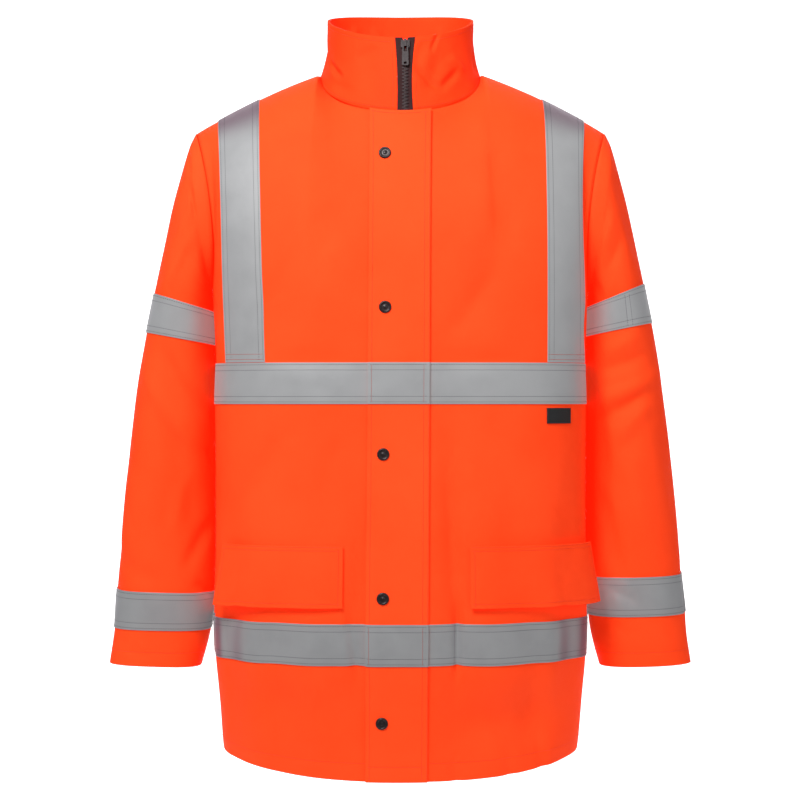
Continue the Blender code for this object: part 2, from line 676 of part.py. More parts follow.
def make_pocket_flap(name, front, side, inner_x):
    """Flap of two layers, sewn along its upper edge, with its outer lower corner standing away."""
    last = len(front[0]) - 1
    middle, outer = (k if side > 0 else last - k for k in POCKET_FLAP_COLUMNS)
    rows = [row_at_height(front, middle, height)
            for height in (POCKET_FLAP_BOTTOM, POCKET_FLAP_TOP)]
    inner = column_at_x(front, rows[1], side * inner_x)
    columns = (min(inner, outer), max(inner, outer))
    grid = patch(front, rows, columns)
    last_row, last_column = len(grid) - 1, len(grid[0]) - 1

    def lift(row, column):
        along = column / last_column if side > 0 else 1 - column / last_column
        down = 1 - row / last_row
        tip = along ** POCKET_FLAP_BEND * blend(POCKET_FLAP_TOP_SHARE, 1.0, down)
        return POCKET_FLAP_STAND + POCKET_FLAP_TIP_LIFT * tip

    sheet(name, moved_out(grid, lift), FLAP_CLOTH, ORANGE_CLOTH, outward=True)


def make_label(front):
    rows = [row_at_height(front, LABEL_COLUMN, height) for height in LABEL_HEIGHTS]
    columns = [column_at_x(front, rows[1], x) for x in LABEL_X]
    sheet("label", moved_out(patch(front, rows, columns), 2 * SEAM_GAP), TAPE_CLOTH,
          BLACK_LABEL, outward=True)


def zip_line(x, rim_x):
    """Points up the centre front at a distance from it, on the body and then on the collar."""
    body = centre_column(-1, x)[ZIP_HEM_END:]
    return body + [collar_at(blend(x, rim_x, share), share) for share in COLLAR_LEVELS[1:]]


def make_zip():
    for name, side in (("zip_tape_right", -1), ("zip_tape_left", 1)):
        inner = ZIP_X + side * (ZIP_CHAIN_HALF_WIDTH + SEAM_GAP)
        foot = ZIP_X + side * (ZIP_GAP_FOOT - SEAM_GAP)
        rim = ZIP_X + side * (ZIP_GAP_RIM - SEAM_GAP)
        lines = [zip_line(inner, inner), zip_line(foot, rim)]
        if side < 0:
            lines.reverse()
        sheet(name, moved_out(rows_from(lines), -ZIP_TAPE_DEPTH), TAPE_CLOTH, ZIP_TAPE)
    edges = [ZIP_X - ZIP_CHAIN_HALF_WIDTH, ZIP_X + ZIP_CHAIN_HALF_WIDTH]
    chain = rows_from([zip_line(x, x) for x in edges])
    first_collar_row = len(chain) - len(COLLAR_LEVELS)
    below_slider = (SLIDER_LENGTH / 2 + CHAIN_TO_SLIDER) / collar_front_length()
    chain_end = SLIDER_SHARE - below_slider
    above = next(k for k, share in enumerate(COLLAR_LEVELS) if share > chain_end)
    low, high = COLLAR_LEVELS[above - 1], COLLAR_LEVELS[above]
    step = (chain_end - low) / (high - low)
    chain = patch(chain, (0, first_collar_row + above - 1 + step), (0, 1))
    face = ZIP_CHAIN_THICKNESS / 2 - ZIP_MIDDLE_DEPTH
    sheet("zip_teeth", moved_out(chain, face), ZIP_CHAIN_THICKNESS, ZIP_RESIN)


def collar_front_length():
    return (collar_at(ZIP_X, 1.0) - collar_at(ZIP_X, 0.0)).length


def zip_frame():
    """Place of the slider: its middle on the zip tape, turned to the collar's lean."""
    foot, rim = collar_at(ZIP_X, 0.0), collar_at(ZIP_X, 1.0)
    along = (rim - foot).normalized()
    outward = Vector((0.0, -along.z, along.y))
    origin = blend(foot, rim, SLIDER_SHARE) - outward * ZIP_MIDDLE_DEPTH
    turn = Matrix.Rotation(-math.atan2(along.y, along.z), 4, "X")
    return Matrix.Translation(origin) @ turn


def box(bm, low, high):
    """Adds a box between two corners to a mesh."""
    size = Vector(high) - Vector(low)
    middle = (Vector(high) + Vector(low)) / 2
    bmesh.ops.create_cube(bm, size=1.0, matrix=Matrix.Translation(middle) @ Matrix.Diagonal(
        (*size, 1.0)))


def box_object(name, low, high, fabric, collection):
    mesh = bpy.data.meshes.new(name)
    bm = bmesh.new()
    box(bm, low, high)
    bm.to_mesh(mesh)
    bm.free()
    return place(name, mesh, fabric, collection)


def make_slider():
    """Two plates joined by a core, with a bridge over the front plate that holds the pull."""
    half, reach = SLIDER_WIDTH / 2, SLIDER_MOUTH + SLIDER_PLATE
    end = SLIDER_LENGTH / 2
    slider = box_object("zip_slider", (-half, -reach, -end), (half, -SLIDER_MOUTH, end),
                        GUNMETAL, jacket)
    bridge_half = BRIDGE_WIDTH / 2
    bridge_top = BRIDGE_REACH + BRIDGE_THICKNESS
    beam_half, beam_top = bridge_half - MERGE_DISTANCE, bridge_top - MERGE_DISTANCE
    joined = {
        "back_plate": ((-half, SLIDER_MOUTH, -end), (half, reach, end)),
        "core": ((-SLIDER_CORE_WIDTH / 2, -SLIDER_MOUTH - SLIDER_JOINT, -end + SLIDER_JOINT),
                 (SLIDER_CORE_WIDTH / 2, SLIDER_MOUTH + SLIDER_JOINT, end - SLIDER_JOINT)),
        "bridge_foot": ((-bridge_half, -bridge_top, -end + SLIDER_JOINT),
                        (bridge_half, -reach + SLIDER_JOINT, -end + BRIDGE_THICKNESS)),
        "bridge_head": ((-bridge_half, -bridge_top, end - BRIDGE_THICKNESS),
                        (bridge_half, -reach + SLIDER_JOINT, end - SLIDER_JOINT)),
        "bridge_beam": ((-beam_half, -beam_top, -end + 2 * SLIDER_JOINT),
                        (beam_half, -BRIDGE_REACH, end - 2 * SLIDER_JOINT)),
    }
    for name, (low, high) in joined.items():
        part = box_object("slider_" + name, low, high, GUNMETAL, cutters)
        part.hide_render = True
        part.display_type = "WIRE"
        part.parent = zip_empty
        union = slider.modifiers.new(name, "BOOLEAN")
        union.operation = "UNION"
        union.object = part
    bevel = slider.modifiers.new("rounded_edges", "BEVEL")
    bevel.width = SLIDER_EDGE
    bevel.segments = 1
    bevel.limit_method = "ANGLE"
    slider.parent = zip_empty


def add_outline(curve, points):
    spline = curve.splines.new("POLY")
    spline.points.add(len(points) - 1)
    for target, (x, y) in zip(spline.points, points):
        target.co = (x, y, 0.0, 1.0)
    spline.use_cyclic_u = True


def rectangle(half_width, low, high):
    return [(-half_width, low), (half_width, low), (half_width, high), (-half_width, high)]


def make_pull():
    """Flat tab with a window for the bridge and a square hole near its foot."""
    curve = bpy.data.curves.new("zip_pull", "CURVE")
    curve.dimensions = "2D"
    curve.fill_mode = "BOTH"
    curve.extrude = PULL_THICKNESS / 2
    top, foot = PULL_BAR / 2, PULL_BAR / 2 - PULL_LENGTH
    half_top, half_foot = PULL_TOP_WIDTH / 2, PULL_FOOT_WIDTH / 2
    add_outline(curve, [
        (-half_top + PULL_CORNER, top), (-half_top, top - PULL_CORNER),
        (-half_foot, foot + PULL_CORNER), (-half_foot + PULL_CORNER, foot),
        (half_foot - PULL_CORNER, foot), (half_foot, foot + PULL_CORNER),
        (half_top, top - PULL_CORNER), (half_top - PULL_CORNER, top),
    ])
    window_top = -PULL_BAR / 2
    add_outline(curve, rectangle(PULL_WINDOW_WIDTH / 2, window_top - PULL_WINDOW_LENGTH,
                                 window_top))
    add_outline(curve, rectangle(PULL_HOLE / 2, PULL_HOLE_HEIGHT - PULL_HOLE / 2,
                                 PULL_HOLE_HEIGHT + PULL_HOLE / 2))
    flat = bpy.data.objects.new("pull_outline", curve)
    cutters.objects.link(flat)
    mesh = bpy.data.meshes.new_from_object(flat.evaluated_get(
        bpy.context.evaluated_depsgraph_get()))
    bpy.data.objects.remove(flat)
    bm = bmesh.new()
    bm.from_mesh(mesh)
    bmesh.ops.remove_doubles(bm, verts=bm.verts, dist=MERGE_DISTANCE)
    bmesh.ops.rotate(bm, verts=bm.verts, matrix=Matrix.Rotation(math.pi / 2, 3, "X"))
    bm.to_mesh(mesh)
    bm.free()
    mesh.materials.clear()
    pull = place("zip_pull", mesh, GUNMETAL, jacket)
    pull.parent = zip_empty
    pull.location = (0.0, -PULL_AXIS_REACH, PULL_AXIS_HEIGHT)


# ------------------------------------------------------------------ assembly

clear_scene()
jacket = new_collection("hi_vis_work_jacket")
cutters = new_collection("cutters")
zip_empty = bpy.data.objects.new("zip_frame", None)
jacket.objects.link(zip_empty)
zip_empty.matrix_world = zip_frame()

front_right = make_front(-1, "front_right", "chest_tape_right", "waist_tape_right")
front_left = make_front(1, "front_left", "chest_tape_left", "waist_tape_left")
back = make_back()
make_brace("brace_left", front_left, back, BRACE_ON_FRONT, BRACE_ON_BACK)
make_brace("brace_right", front_right, back,
           from_other_side(front_right, BRACE_ON_FRONT), from_other_side(back, BRACE_ON_BACK))
sheet("collar", collar_grid(), COLLAR_CLOTH, ORANGE_CLOTH)
make_sleeve(-1, "sleeve_right", UPPER_TAPE_RIGHT, LOWER_TAPE_RIGHT)
make_sleeve(1, "sleeve_left", UPPER_TAPE_LEFT, LOWER_TAPE_LEFT)
make_storm_flap(len(front_left) - 1)
make_pocket_flap("pocket_flap_right", front_right, -1, POCKET_FLAP_INNER_RIGHT)
make_pocket_flap("pocket_flap_left", front_left, 1, POCKET_FLAP_INNER_LEFT)
make_label(front_left)
make_zip()
make_slider()
make_pull()
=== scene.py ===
import math

import bmesh
import bpy
import numpy as np
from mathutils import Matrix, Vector


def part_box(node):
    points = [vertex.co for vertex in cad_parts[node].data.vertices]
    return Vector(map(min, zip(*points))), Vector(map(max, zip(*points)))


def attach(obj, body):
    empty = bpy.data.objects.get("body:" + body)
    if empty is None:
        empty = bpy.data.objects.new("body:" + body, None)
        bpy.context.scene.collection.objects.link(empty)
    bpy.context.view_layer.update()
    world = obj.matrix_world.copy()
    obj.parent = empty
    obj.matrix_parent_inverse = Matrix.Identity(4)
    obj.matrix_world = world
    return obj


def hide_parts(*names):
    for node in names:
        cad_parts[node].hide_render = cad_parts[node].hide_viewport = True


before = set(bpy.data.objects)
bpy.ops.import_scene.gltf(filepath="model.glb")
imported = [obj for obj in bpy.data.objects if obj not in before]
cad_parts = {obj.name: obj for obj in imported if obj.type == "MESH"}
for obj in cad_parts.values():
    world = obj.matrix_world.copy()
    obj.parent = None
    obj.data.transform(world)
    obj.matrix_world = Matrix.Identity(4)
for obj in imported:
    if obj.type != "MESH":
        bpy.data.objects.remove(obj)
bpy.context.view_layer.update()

# ---------------------------------------------------------------- the studio
# The jacket hangs in the air as if worn, so it stands before a pale sweep of paper that runs
# down the wall and out over the floor, under big soft lamps above, to one side and behind.

scene = bpy.context.scene
scene.view_settings.view_transform = "Standard"
WHITE, BLACK = (1.0, 1.0, 1.0), (0.0, 0.0, 0.0)


def put_in_scene(name, data, place=(0.0, 0.0, 0.0)):
    made = bpy.data.objects.new(name, data)
    made.location = place
    scene.collection.objects.link(made)
    return made


EYE_DISTANCE, EYE_HEIGHT, EYE_ACROSS = 2.8, -0.411, -0.0006
PICTURE_HALF_WIDTH = 0.508         # metres, at the jacket's middle
camera_data = bpy.data.cameras.new("camera")
camera_data.sensor_width = 36.0
camera_data.lens = camera_data.sensor_width / 2 * EYE_DISTANCE / PICTURE_HALF_WIDTH
scene.camera = put_in_scene("camera", camera_data, (EYE_ACROSS, -EYE_DISTANCE, EYE_HEIGHT))
scene.camera.rotation_euler = (math.pi / 2, 0.0, 0.0)


def feed(tree, node, values):
    """Sets a shader node's inputs, or links those given as another node's output."""
    for socket, value in values.items():
        if isinstance(value, bpy.types.NodeSocket):
            tree.links.new(value, node.inputs[socket])
        else:
            opaque = isinstance(value, tuple)
            node.inputs[socket].default_value = value + (1.0,) if opaque else value


def add_node(tree, kind, inputs=None, **settings):
    """Adds a shader node and feeds its inputs. Returns its outputs."""
    made = tree.nodes.new("ShaderNode" + kind)
    for name, value in settings.items():
        setattr(made, name, value)
    feed(tree, made, inputs or {})
    return made.outputs


def new_material(name):
    """A material, its node tree and its shader."""
    material = bpy.data.materials.new(name)
    material.use_nodes = True
    return material, material.node_tree, material.node_tree.nodes["Principled BSDF"]


PAPER_FLOOR, PAPER_WALL, PAPER_BEND = -1.45, 2.2, 0.7
PAPER_FRONT, PAPER_TOP, PAPER_HALF_WIDTH = -0.5, 3.0, 1.5
paper_line = [(PAPER_FRONT, PAPER_FLOOR)]
for turn in np.linspace(0.0, math.pi / 2, 13):
    paper_line.append((PAPER_WALL - PAPER_BEND + PAPER_BEND * math.sin(turn),
                       PAPER_FLOOR + PAPER_BEND - PAPER_BEND * math.cos(turn)))
paper_line.append((PAPER_WALL, PAPER_TOP))
paper_mesh = bpy.data.meshes.new("paper_sweep")
paper_mesh.from_pydata(
    [(side * PAPER_HALF_WIDTH, y, z) for y, z in paper_line for side in (-1, 1)], [],
    [(2 * k, 2 * k + 1, 2 * k + 3, 2 * k + 2) for k in range(len(paper_line) - 1)])
paper_mesh.shade_smooth()
paper_material, paper_tree, paper_shader = new_material("white_paper")
feed(paper_tree, paper_shader, {
    "Base Color": (0.93, 0.93, 0.93), "Roughness": 0.9,
    "Emission Color": WHITE, "Emission Strength": 0.80})
paper_mesh.materials.append(paper_material)
put_in_scene("paper_sweep", paper_mesh)

ROOM_LIGHT = 0.18                  # the walls look white, and give back only this much light
world = bpy.data.worlds.new("room")
world.use_nodes = True
seen = add_node(world.node_tree, "LightPath")["Is Camera Ray"]
room_strength = add_node(world.node_tree, "MapRange", {"Value": seen, "To Min": ROOM_LIGHT})
feed(world.node_tree, world.node_tree.nodes["Background"],
     {"Color": WHITE, "Strength": room_strength[0]})
scene.world = world

# name, place, size, power, aimed at
LAMPS = [
    ("lamp_overhead", (-0.75, -1.80, 1.25), 0.9, 64.0, (0.0, 0.0, -0.25)),
    ("lamp_right", (1.9, -2.2, 0.1), 1.6, 11.0, (0.0, 0.0, -0.45)),
    ("lamp_behind", (0.6, 2.0, 1.6), 1.8, 8.0, (0.0, 0.0, -0.30)),
]
for lamp_name, place, size, power, target in LAMPS:
    lamp_data = bpy.data.lights.new(lamp_name, "AREA")
    lamp_data.shape, lamp_data.size, lamp_data.energy = "SQUARE", size, power
    aim = (Vector(target) - Vector(place)).to_track_quat("-Z", "Y")
    put_in_scene(lamp_name, lamp_data, place).rotation_euler = aim.to_euler()

# ---------------------------------------------------------------- fronts and back
# Two fronts and a one-piece back, cut from coated fluorescent oxford cloth and seamed at the
# sides, shoulders and armholes. The cloth is stiff, so it stands out over a wearer's chest and
# hips and breaks only into a few long soft folds towards the hem.

CLOTH = 0.0015             # the shell cloth with its seam allowance
SEAM_GAP = 0.0003
CELL = 0.0036              # the cloth's mesh is about this fine
EDGE_LINES = (0.0007, 0.0022)      # and has lines this close to its edges

# height, half width, depth in front, depth behind, squareness: level sections of the body
BODY_SECTIONS = np.array([
    (-0.870, 0.2203, 0.151, 0.135, 2.15),
    (-0.838, 0.2248, 0.154, 0.137, 2.3),
    (-0.777, 0.2299, 0.161, 0.138, 2.4),
    (-0.730, 0.2338, 0.167, 0.137, 2.5),
    (-0.679, 0.2352, 0.169, 0.135, 2.65),
    (-0.600, 0.2330, 0.168, 0.132, 3.0),
    (-0.500, 0.2318, 0.166, 0.133, 3.3),
    (-0.416, 0.2318, 0.164, 0.138, 3.5),
    (-0.366, 0.2318, 0.162, 0.141, 3.5),
])
CHEST_TOP, CHEST_HALF_WIDTH = -0.366, 0.2318
HEM_SIDE, HEM_START = -0.848, -0.800
HEM_DROP = {-1: 0.022, 1: 0.012}           # at the centre, front and back
NECK_HALF_WIDTH = 0.101
NECK = {-1: (0.110, -0.0585), 1: (0.084, 0.012)}   # depth and height at the centre
NECK_CURVE = 0.9
SHOULDER_SLOPE, SHOULDER_CURVE, SHOULDER_POINT_X = 0.340, 0.85, 0.2575
UNDERARM = np.array((0.2360, 0.0, -0.275))
ARMHOLE_HALF_DEPTH, ARMHOLE_ROUNDNESS, UNDERARM_RISE, ARMHOLE_SPREAD = 0.088, 2.2, 0.13, 1.4
ARMHOLE_HOLLOW, HOLLOW_SPREAD = 0.0135, 3     # the armhole is cut in, front and back
RISE_AT_CENTRE, RISE_AT_SHOULDER, ROLL_AT_CENTRE, ROLL_AT_SHOULDER = 1.0, 1.3, 1.8, 2.6
STEEPNESS_AT_CENTRE = 0.95

# Upright threads of the cloth, from the centre out: number, distance from the centre on the
# chest, and place on the top edge, where 1 is the neck point and 2 the shoulder point. The
# brace tape's edges are threads 7 and 9. On the wearer's left front it leans out.
BRACE_ON_CHEST, LEFT_BRACE_ON_CHEST = (0.163, 0.188, 0.2125), (0.177, 0.2015, 0.226)


def shoulder_place(x):
    return 1 + (x - NECK_HALF_WIDTH) / (SHOULDER_POINT_X - NECK_HALF_WIDTH)


def threads_from(edge_x, brace=BRACE_ON_CHEST):
    """Table of upright threads of a panel whose centre edge lies at a distance from the centre."""
    return np.array([
        (0, edge_x, math.asin(edge_x / NECK_HALF_WIDTH) / (math.pi / 2)),
        (1, 0.020, 14 / 90), (2, 0.042, 30 / 90), (3, 0.070, 50 / 90), (4, 0.096, 70 / 90),
        (5, 0.120, 1.0), (6, 0.142, shoulder_place(0.140)), (7, brace[0], shoulder_place(0.178)),
        (8, brace[1], shoulder_place(0.204)), (9, brace[2], shoulder_place(0.230)),
    ])


def hermite(start, leave, end, arrive, share):
    """Place on a cubic between two places with a given pull at each."""
    square, cube = share ** 2, share ** 3
    return (start * (2 * cube - 3 * square + 1) + leave * (cube - 2 * square + share)
            + end * (3 * square - 2 * cube) + arrive * (cube - square))


def read_table(table, key):
    """Rows of a table at keys of its first column, on a smooth curve through its rows."""
    keys = table[:, 0]
    key = np.clip(np.atleast_1d(key), keys[0], keys[-1])
    upper = np.clip(np.searchsorted(keys, key), 1, len(keys) - 1)
    before, low, high, after = (table[np.clip(upper + step, 0, len(keys) - 1)]
                                for step in (-2, -1, 0, 1))
    span = high[:, :1] - low[:, :1]
    leave = (high - before) / (high[:, :1] - before[:, :1]) * span
    arrive = (after - low) / (after[:, :1] - low[:, :1]) * span
    return hermite(low, leave, high, arrive, (key[:, None] - low[:, :1]) / span)


def oval(angle, roundness):
    """Across and along parts of a squared circle of half-size 1, by its polar angle."""
    across, along = np.sin(angle), np.cos(angle)
    reach = (np.abs(across) ** roundness + np.abs(along) ** roundness) ** (-1 / roundness)
    return across * reach, along * reach


def section_angle(share, roundness):
    share = np.clip(share, 1e-6, 1.0)
    return np.arctan2(1.0, (share ** -roundness - 1) ** (1 / roundness))


def level_points(face, chest_x, turn, heights):
    """Points of the level sections, one row for each height. Near the hem the rows dip."""
    key = np.maximum(heights, HEM_SIDE)
    _, half_width, front, behind, roundness = read_table(BODY_SECTIONS, key).T
    depth = front if face < 0 else behind
    angle = section_angle(chest_x[None, :] / CHEST_HALF_WIDTH, roundness[:, None])
    angle = angle + (math.pi / 2 - angle) * turn[None, :]
    across, along = oval(angle, roundness[:, None])
    near_hem = np.clip((HEM_START - heights) / (HEM_START - HEM_SIDE), 0.0, 1.0)[:, None]
    z = key[:, None] - near_hem * HEM_DROP[face] * along ** 2
    return np.stack([across * half_width[:, None], face * depth[:, None] * along, z], axis=-1)


def shoulder_height(x):
    run = x - NECK_HALF_WIDTH
    return -SHOULDER_SLOPE * run - SHOULDER_CURVE * run ** 2


def top_edge(face, place):
    """Points of the neckline up to place 1 and of the shoulder seam past it."""
    depth, height = NECK[face]
    angle = np.clip(place, 0.0, 1.0) * math.pi / 2
    along = np.cos(angle)
    on_neck = np.stack([NECK_HALF_WIDTH * np.sin(angle), face * depth * along,
                        height * np.clip(along, 0.0, 1.0) ** NECK_CURVE], axis=-1)
    x = NECK_HALF_WIDTH + (place - 1) * (SHOULDER_POINT_X - NECK_HALF_WIDTH)
    on_shoulder = np.stack([x, 0 * x, shoulder_height(x)], axis=-1)
    return np.where((place <= 1)[:, None], on_neck, on_shoulder)


def armhole_edge(face, rise):
    """The side edge above the chest: up the side seam, then round half of the armhole."""
    foot = np.array((CHEST_HALF_WIDTH, 0.0, CHEST_TOP))
    low = foot + (UNDERARM - foot) * (rise / UNDERARM_RISE)[:, None]
    shoulder = np.array((SHOULDER_POINT_X, 0.0, shoulder_height(SHOULDER_POINT_X)))
    angle = math.pi * (1 - (rise - UNDERARM_RISE) / (1 - UNDERARM_RISE))
    across, along = oval(angle, ARMHOLE_ROUNDNESS)
    high = (shoulder + UNDERARM) / 2 + (shoulder - UNDERARM) / 2 * along[:, None]
    high[:, 0] -= ARMHOLE_HOLLOW * across ** 2
    high[:, 1] += face * ARMHOLE_HALF_DEPTH * across
    return np.where((rise <= UNDERARM_RISE)[:, None], low, high)


def rolled_points(face, chest_x, place, turn, rise):
    """Points above the chest, where the cloth rises and rolls over to the top edge."""
    start = level_points(face, chest_x, turn, np.array([CHEST_TOP]))[0]
    end = top_edge(face, place)
    run = end - start
    centre = np.cos(np.clip(place, 0.0, 1.0) * math.pi / 2) ** 2
    leave = run * np.stack([0 * centre + 1, 0 * centre,
                            RISE_AT_SHOULDER + (RISE_AT_CENTRE - RISE_AT_SHOULDER) * centre], -1)
    arrive = run * np.stack([0 * centre + 1,
                             ROLL_AT_SHOULDER + (ROLL_AT_CENTRE - ROLL_AT_SHOULDER) * centre,
                             STEEPNESS_AT_CENTRE * centre], -1)
    return hermite(start[None], leave[None], end[None], arrive[None], rise[:, None, None])


def body_points(face, chest_x, place, turn, rows):
    """Plain form of a panel. A row below 0 is a height, and one from 0 to 1 a share of the
    way from the chest tape's upper edge to the top edge."""
    low = level_points(face, chest_x, turn, rows[rows < 0])
    rise = rows[rows >= 0]
    one = np.array([1.0])
    side = rolled_points(face, one * CHEST_HALF_WIDTH, one * 2.0, one, rise)
    pull = armhole_edge(face, rise)[:, None, :] - side
    depth = (level_points(face, chest_x, turn, np.array([CHEST_TOP]))[0, :, 1]
             / level_points(face, 0 * one, 0 * one, np.array([CHEST_TOP]))[0, 0, 1])
    high = rolled_points(face, chest_x, place, turn, rise)
    depth = np.clip(depth, 0.0, 1.0)
    spread, inward = (1 - depth) ** ARMHOLE_SPREAD, (1 - depth ** 2) ** HOLLOW_SPREAD
    high = high + pull * np.stack([inward, spread, spread], axis=-1)[None]
    points = np.concatenate([low, high])
    points[..., 1] += face * SEAM_GAP / 2
    return points


def threads(table, numbers):
    """Chest distance, top place and turn of upright threads by number. Past 9, the cloth
    turns round to the side seam at 13."""
    values = read_table(table, np.minimum(numbers, 9.0))
    turn = np.clip((numbers - 9.0) / 4.0, 0.0, 1.0)
    place = values[:, 2] + (2.0 - table[-1, 2]) * turn
    return values[:, 1], place, turn


def lengths_along(points):
    return np.concatenate([[0.0], np.cumsum(np.linalg.norm(np.diff(points, axis=0), axis=1))])


def girth_at_chest(face, table):
    """Numbers of close upright threads and how far each lies round the chest."""
    numbers = np.linspace(0.0, 13.0, 261)
    chest_x, _, turn = threads(table, numbers)
    line = level_points(face, chest_x, turn, np.array([CHEST_TOP]))[0]
    return numbers, lengths_along(line) + line[0, 0]


def lines_across(length, cell=CELL, edge_lines=EDGE_LINES):
    """Places of mesh lines over a length, close together at both ends."""
    middle = np.linspace(0.0, length, max(int(round(length / cell)), 2) + 1)
    near = np.array(edge_lines)
    inner = middle[(middle > near[-1] * 1.3) & (middle < length - near[-1] * 1.3)]
    return np.concatenate([[0.0], near, inner, length - near[::-1], [length]])


# Folds pressed into the body, in millimetres: distance round from the centre front
# and height of each end, half width, depth (a ridge is negative), and sideways bow. The
# wearer's right is negative.
BODY_FOLDS = [
    (63, -430, 69, -800, 18, 7.5, 4), (56, -500, 67, -742, 8, 3.4, -3),
    (68, -655, 68, -750, 4.6, 7.5, 0), (108, -480, 118, -850, 24, -4, 6),
    (152, -640, 165, -872, 18, 4.2, -6), (215, -500, 222, -850, 24, 5, 5),
    (64, -840, 72, -885, 7, 3, 0), (134, -830, 139, -878, 8, 2.8, 0),
    (175, -815, 184, -872, 8, 2.8, 0), (55, -801, 208, -797, 38, 12.5, 3),
    (-50, -555, -53, -775, 14, 5.8, -3), (-62, -660, -50, -750, 5.5, 4, 1),
    (-95, -560, -104, -860, 20, -3.4, 4), (-145, -640, -152, -862, 18, 3.6, 4),
    (-214, -520, -224, -852, 24, 4.8, -6), (-55, -782, -205, -772, 24, 3, -3),
    (-70, -180, -150, -345, 24, 3.6, 6), (-110, -190, -185, -330, 14, 2, -4),
    (150, -135, 70, -335, 26, 4, -6), (125, -250, 55, -345, 13, 2.2, 4),
    (40, -362, 150, -360, 13, 2.6, 2), (-50, -363, -165, -359, 13, 2.2, -2),
    (124, -95, 134, -220, 12, 2.6, 4), (-128, -95, -138, -230, 12, 2.2, -4),
    (105, -428, 225, -560, 18, 4, 6), (85, -470, 140, -575, 14, 2.4, -4),
    (-120, -425, -226, -560, 19, 3.8, -6), (-80, -440, -115, -540, 14, -2, 4),
    (190, -600, 205, -680, 12, 2.6, 3), (-190, -600, -204, -685, 12, 2.4, -3),
    (262, -300, 300, -420, 12, 4.6, 4), (286, -310, 330, -470, 12, 4.9, -4),
    (-264, -305, -306, -430, 12, 4.6, -4), (-288, -315, -326, -450, 13, 4.9, 4),
    (300, -520, 318, -800, 20, 5.8, 10), (-302, -540, -316, -820, 20, 5.5, -10),
    (352, -330, 400, -520, 16, 5.5, 8), (-356, -330, -402, -500, 15, 5.2, -8),
    (440, -180, 480, -420, 24, 4.3, 8), (-442, -190, -486, -400, 22, 4.1, -8),
    (420, -560, 430, -850, 20, 5.2, 6), (-424, -580, -432, -845, 21, 5.2, -4),
    (500, -600, 506, -860, 22, 5.8, -5), (-505, -560, -512, -855, 23, 6.1, 6),
    (556, -500, 560, -820, 19, -3.8, 4), (470, -60, 580, -120, 16, 2.3, 10),
    (-480, -62, -560, -110, 15, 2, -10),
]

FOLD_OVERRUN, FOLD_FADE = 0.12, 0.42       # shares of its length where a fold dies away
FOLD_BANKS, BANK_SPREAD = 0.30, 5          # share of its depth in its banks, and their spread


def fold_depth(folds, across, up, loop=None):
    """How far the folds sink the cloth at places across and up. Each fold has soft banks, and
    dies away at its ends. A loop is the distance all round a closed piece."""
    depth = np.zeros_like(up)
    for start_a, start_z, end_a, end_z, width, deep, bow in np.array(folds) / 1000:
        run_a, run_z = end_a - start_a, end_z - start_z
        length = math.hypot(run_a, run_z)
        off_a = across - start_a
        if loop is not None:
            off_a = (off_a - run_a / 2 + loop / 2) % loop - loop / 2 + run_a / 2
        along = (off_a * run_a + (up - start_z) * run_z) / length ** 2
        beside = (off_a * run_z - (up - start_z) * run_a) / length
        beside = beside - bow * 4 * along * (1 - along)
        fade = np.minimum(along, 1 - along) + FOLD_OVERRUN
        fade = np.clip(fade / FOLD_FADE, 0.0, 1.0)
        fade = fade * fade * (3 - 2 * fade)
        near = (beside / width) ** 2
        depth += deep * fade * (np.exp(-near) - FOLD_BANKS * np.exp(-near / BANK_SPREAD))
    return depth


def unit(vectors):
    return vectors / np.maximum(np.linalg.norm(vectors, axis=-1, keepdims=True), 1e-12)


def grid_normals(grid, closed=False):
    if closed:
        across = np.roll(grid, -1, axis=1) - np.roll(grid, 1, axis=1)
    else:
        across = np.gradient(grid, axis=1)
    return unit(np.cross(across, np.gradient(grid, axis=0)))


def lifted(grid, distance, closed=False):
    return grid + grid_normals(grid, closed) * distance


def pressed(grid, folds, around, hold=1.0, loop=None):
    """The cloth with its folds pressed in. Around is how far round the piece each place is."""
    sunk = fold_depth(folds, around + 0 * grid[..., 2], grid[..., 2], loop) * hold
    return lifted(grid, -sunk[..., None], loop is not None)


RIGHT_EDGE, LEFT_EDGE = -0.0042, 0.0158     # the fronts' edges at the zip
left_threads, back_threads = threads_from(LEFT_EDGE, LEFT_BRACE_ON_CHEST), threads_from(0.0)
FRONTS = ((-1, "right", threads_from(-RIGHT_EDGE), -RIGHT_EDGE),
          (1, "left", left_threads, LEFT_EDGE))
ALL_ROUND = (0, 13)                # the upright threads from the centre to the side seam
FRONT_GIRTH = girth_at_chest(-1, threads_from(LEFT_EDGE))[1][-1]
BACK_GIRTH = girth_at_chest(1, back_threads)[1][-1]
FOLDS_TOP, FOLDS_FULL = -0.045, 0.05       # no folds above this height, full this far below


def panel_points(face, side, table, numbers, rows, edge_x=None):
    """Points of half the body between upright threads and rows, with folds pressed in that
    die away into the armhole, neck and shoulder seams."""
    chest_x, place, turn = threads(table, numbers)
    plain = body_points(face, chest_x, place, turn, rows)
    if edge_x is not None:
        plain[..., 0] += (edge_x - plain[:, :1, 0]) * np.clip(1 - numbers, 0.0, 1.0)
    known, lengths = girth_at_chest(face, table)
    around = np.interp(numbers, known, lengths)
    if face > 0:
        plain, around = plain[:, ::-1], (FRONT_GIRTH + BACK_GIRTH - around)[::-1]
    hold = np.clip((FOLDS_TOP - plain[..., 2]) / FOLDS_FULL, 0.0, 1.0)
    grid = pressed(plain, BODY_FOLDS, side * around, hold)
    return grid[:, ::-1] if face > 0 else grid


def sides_of(points, side):
    """The points as they are for the wearer's left, or mirrored and turned for the right."""
    if side > 0:
        return points
    flipped = points[:, ::-1].copy()
    flipped[..., 0] *= -1
    return flipped


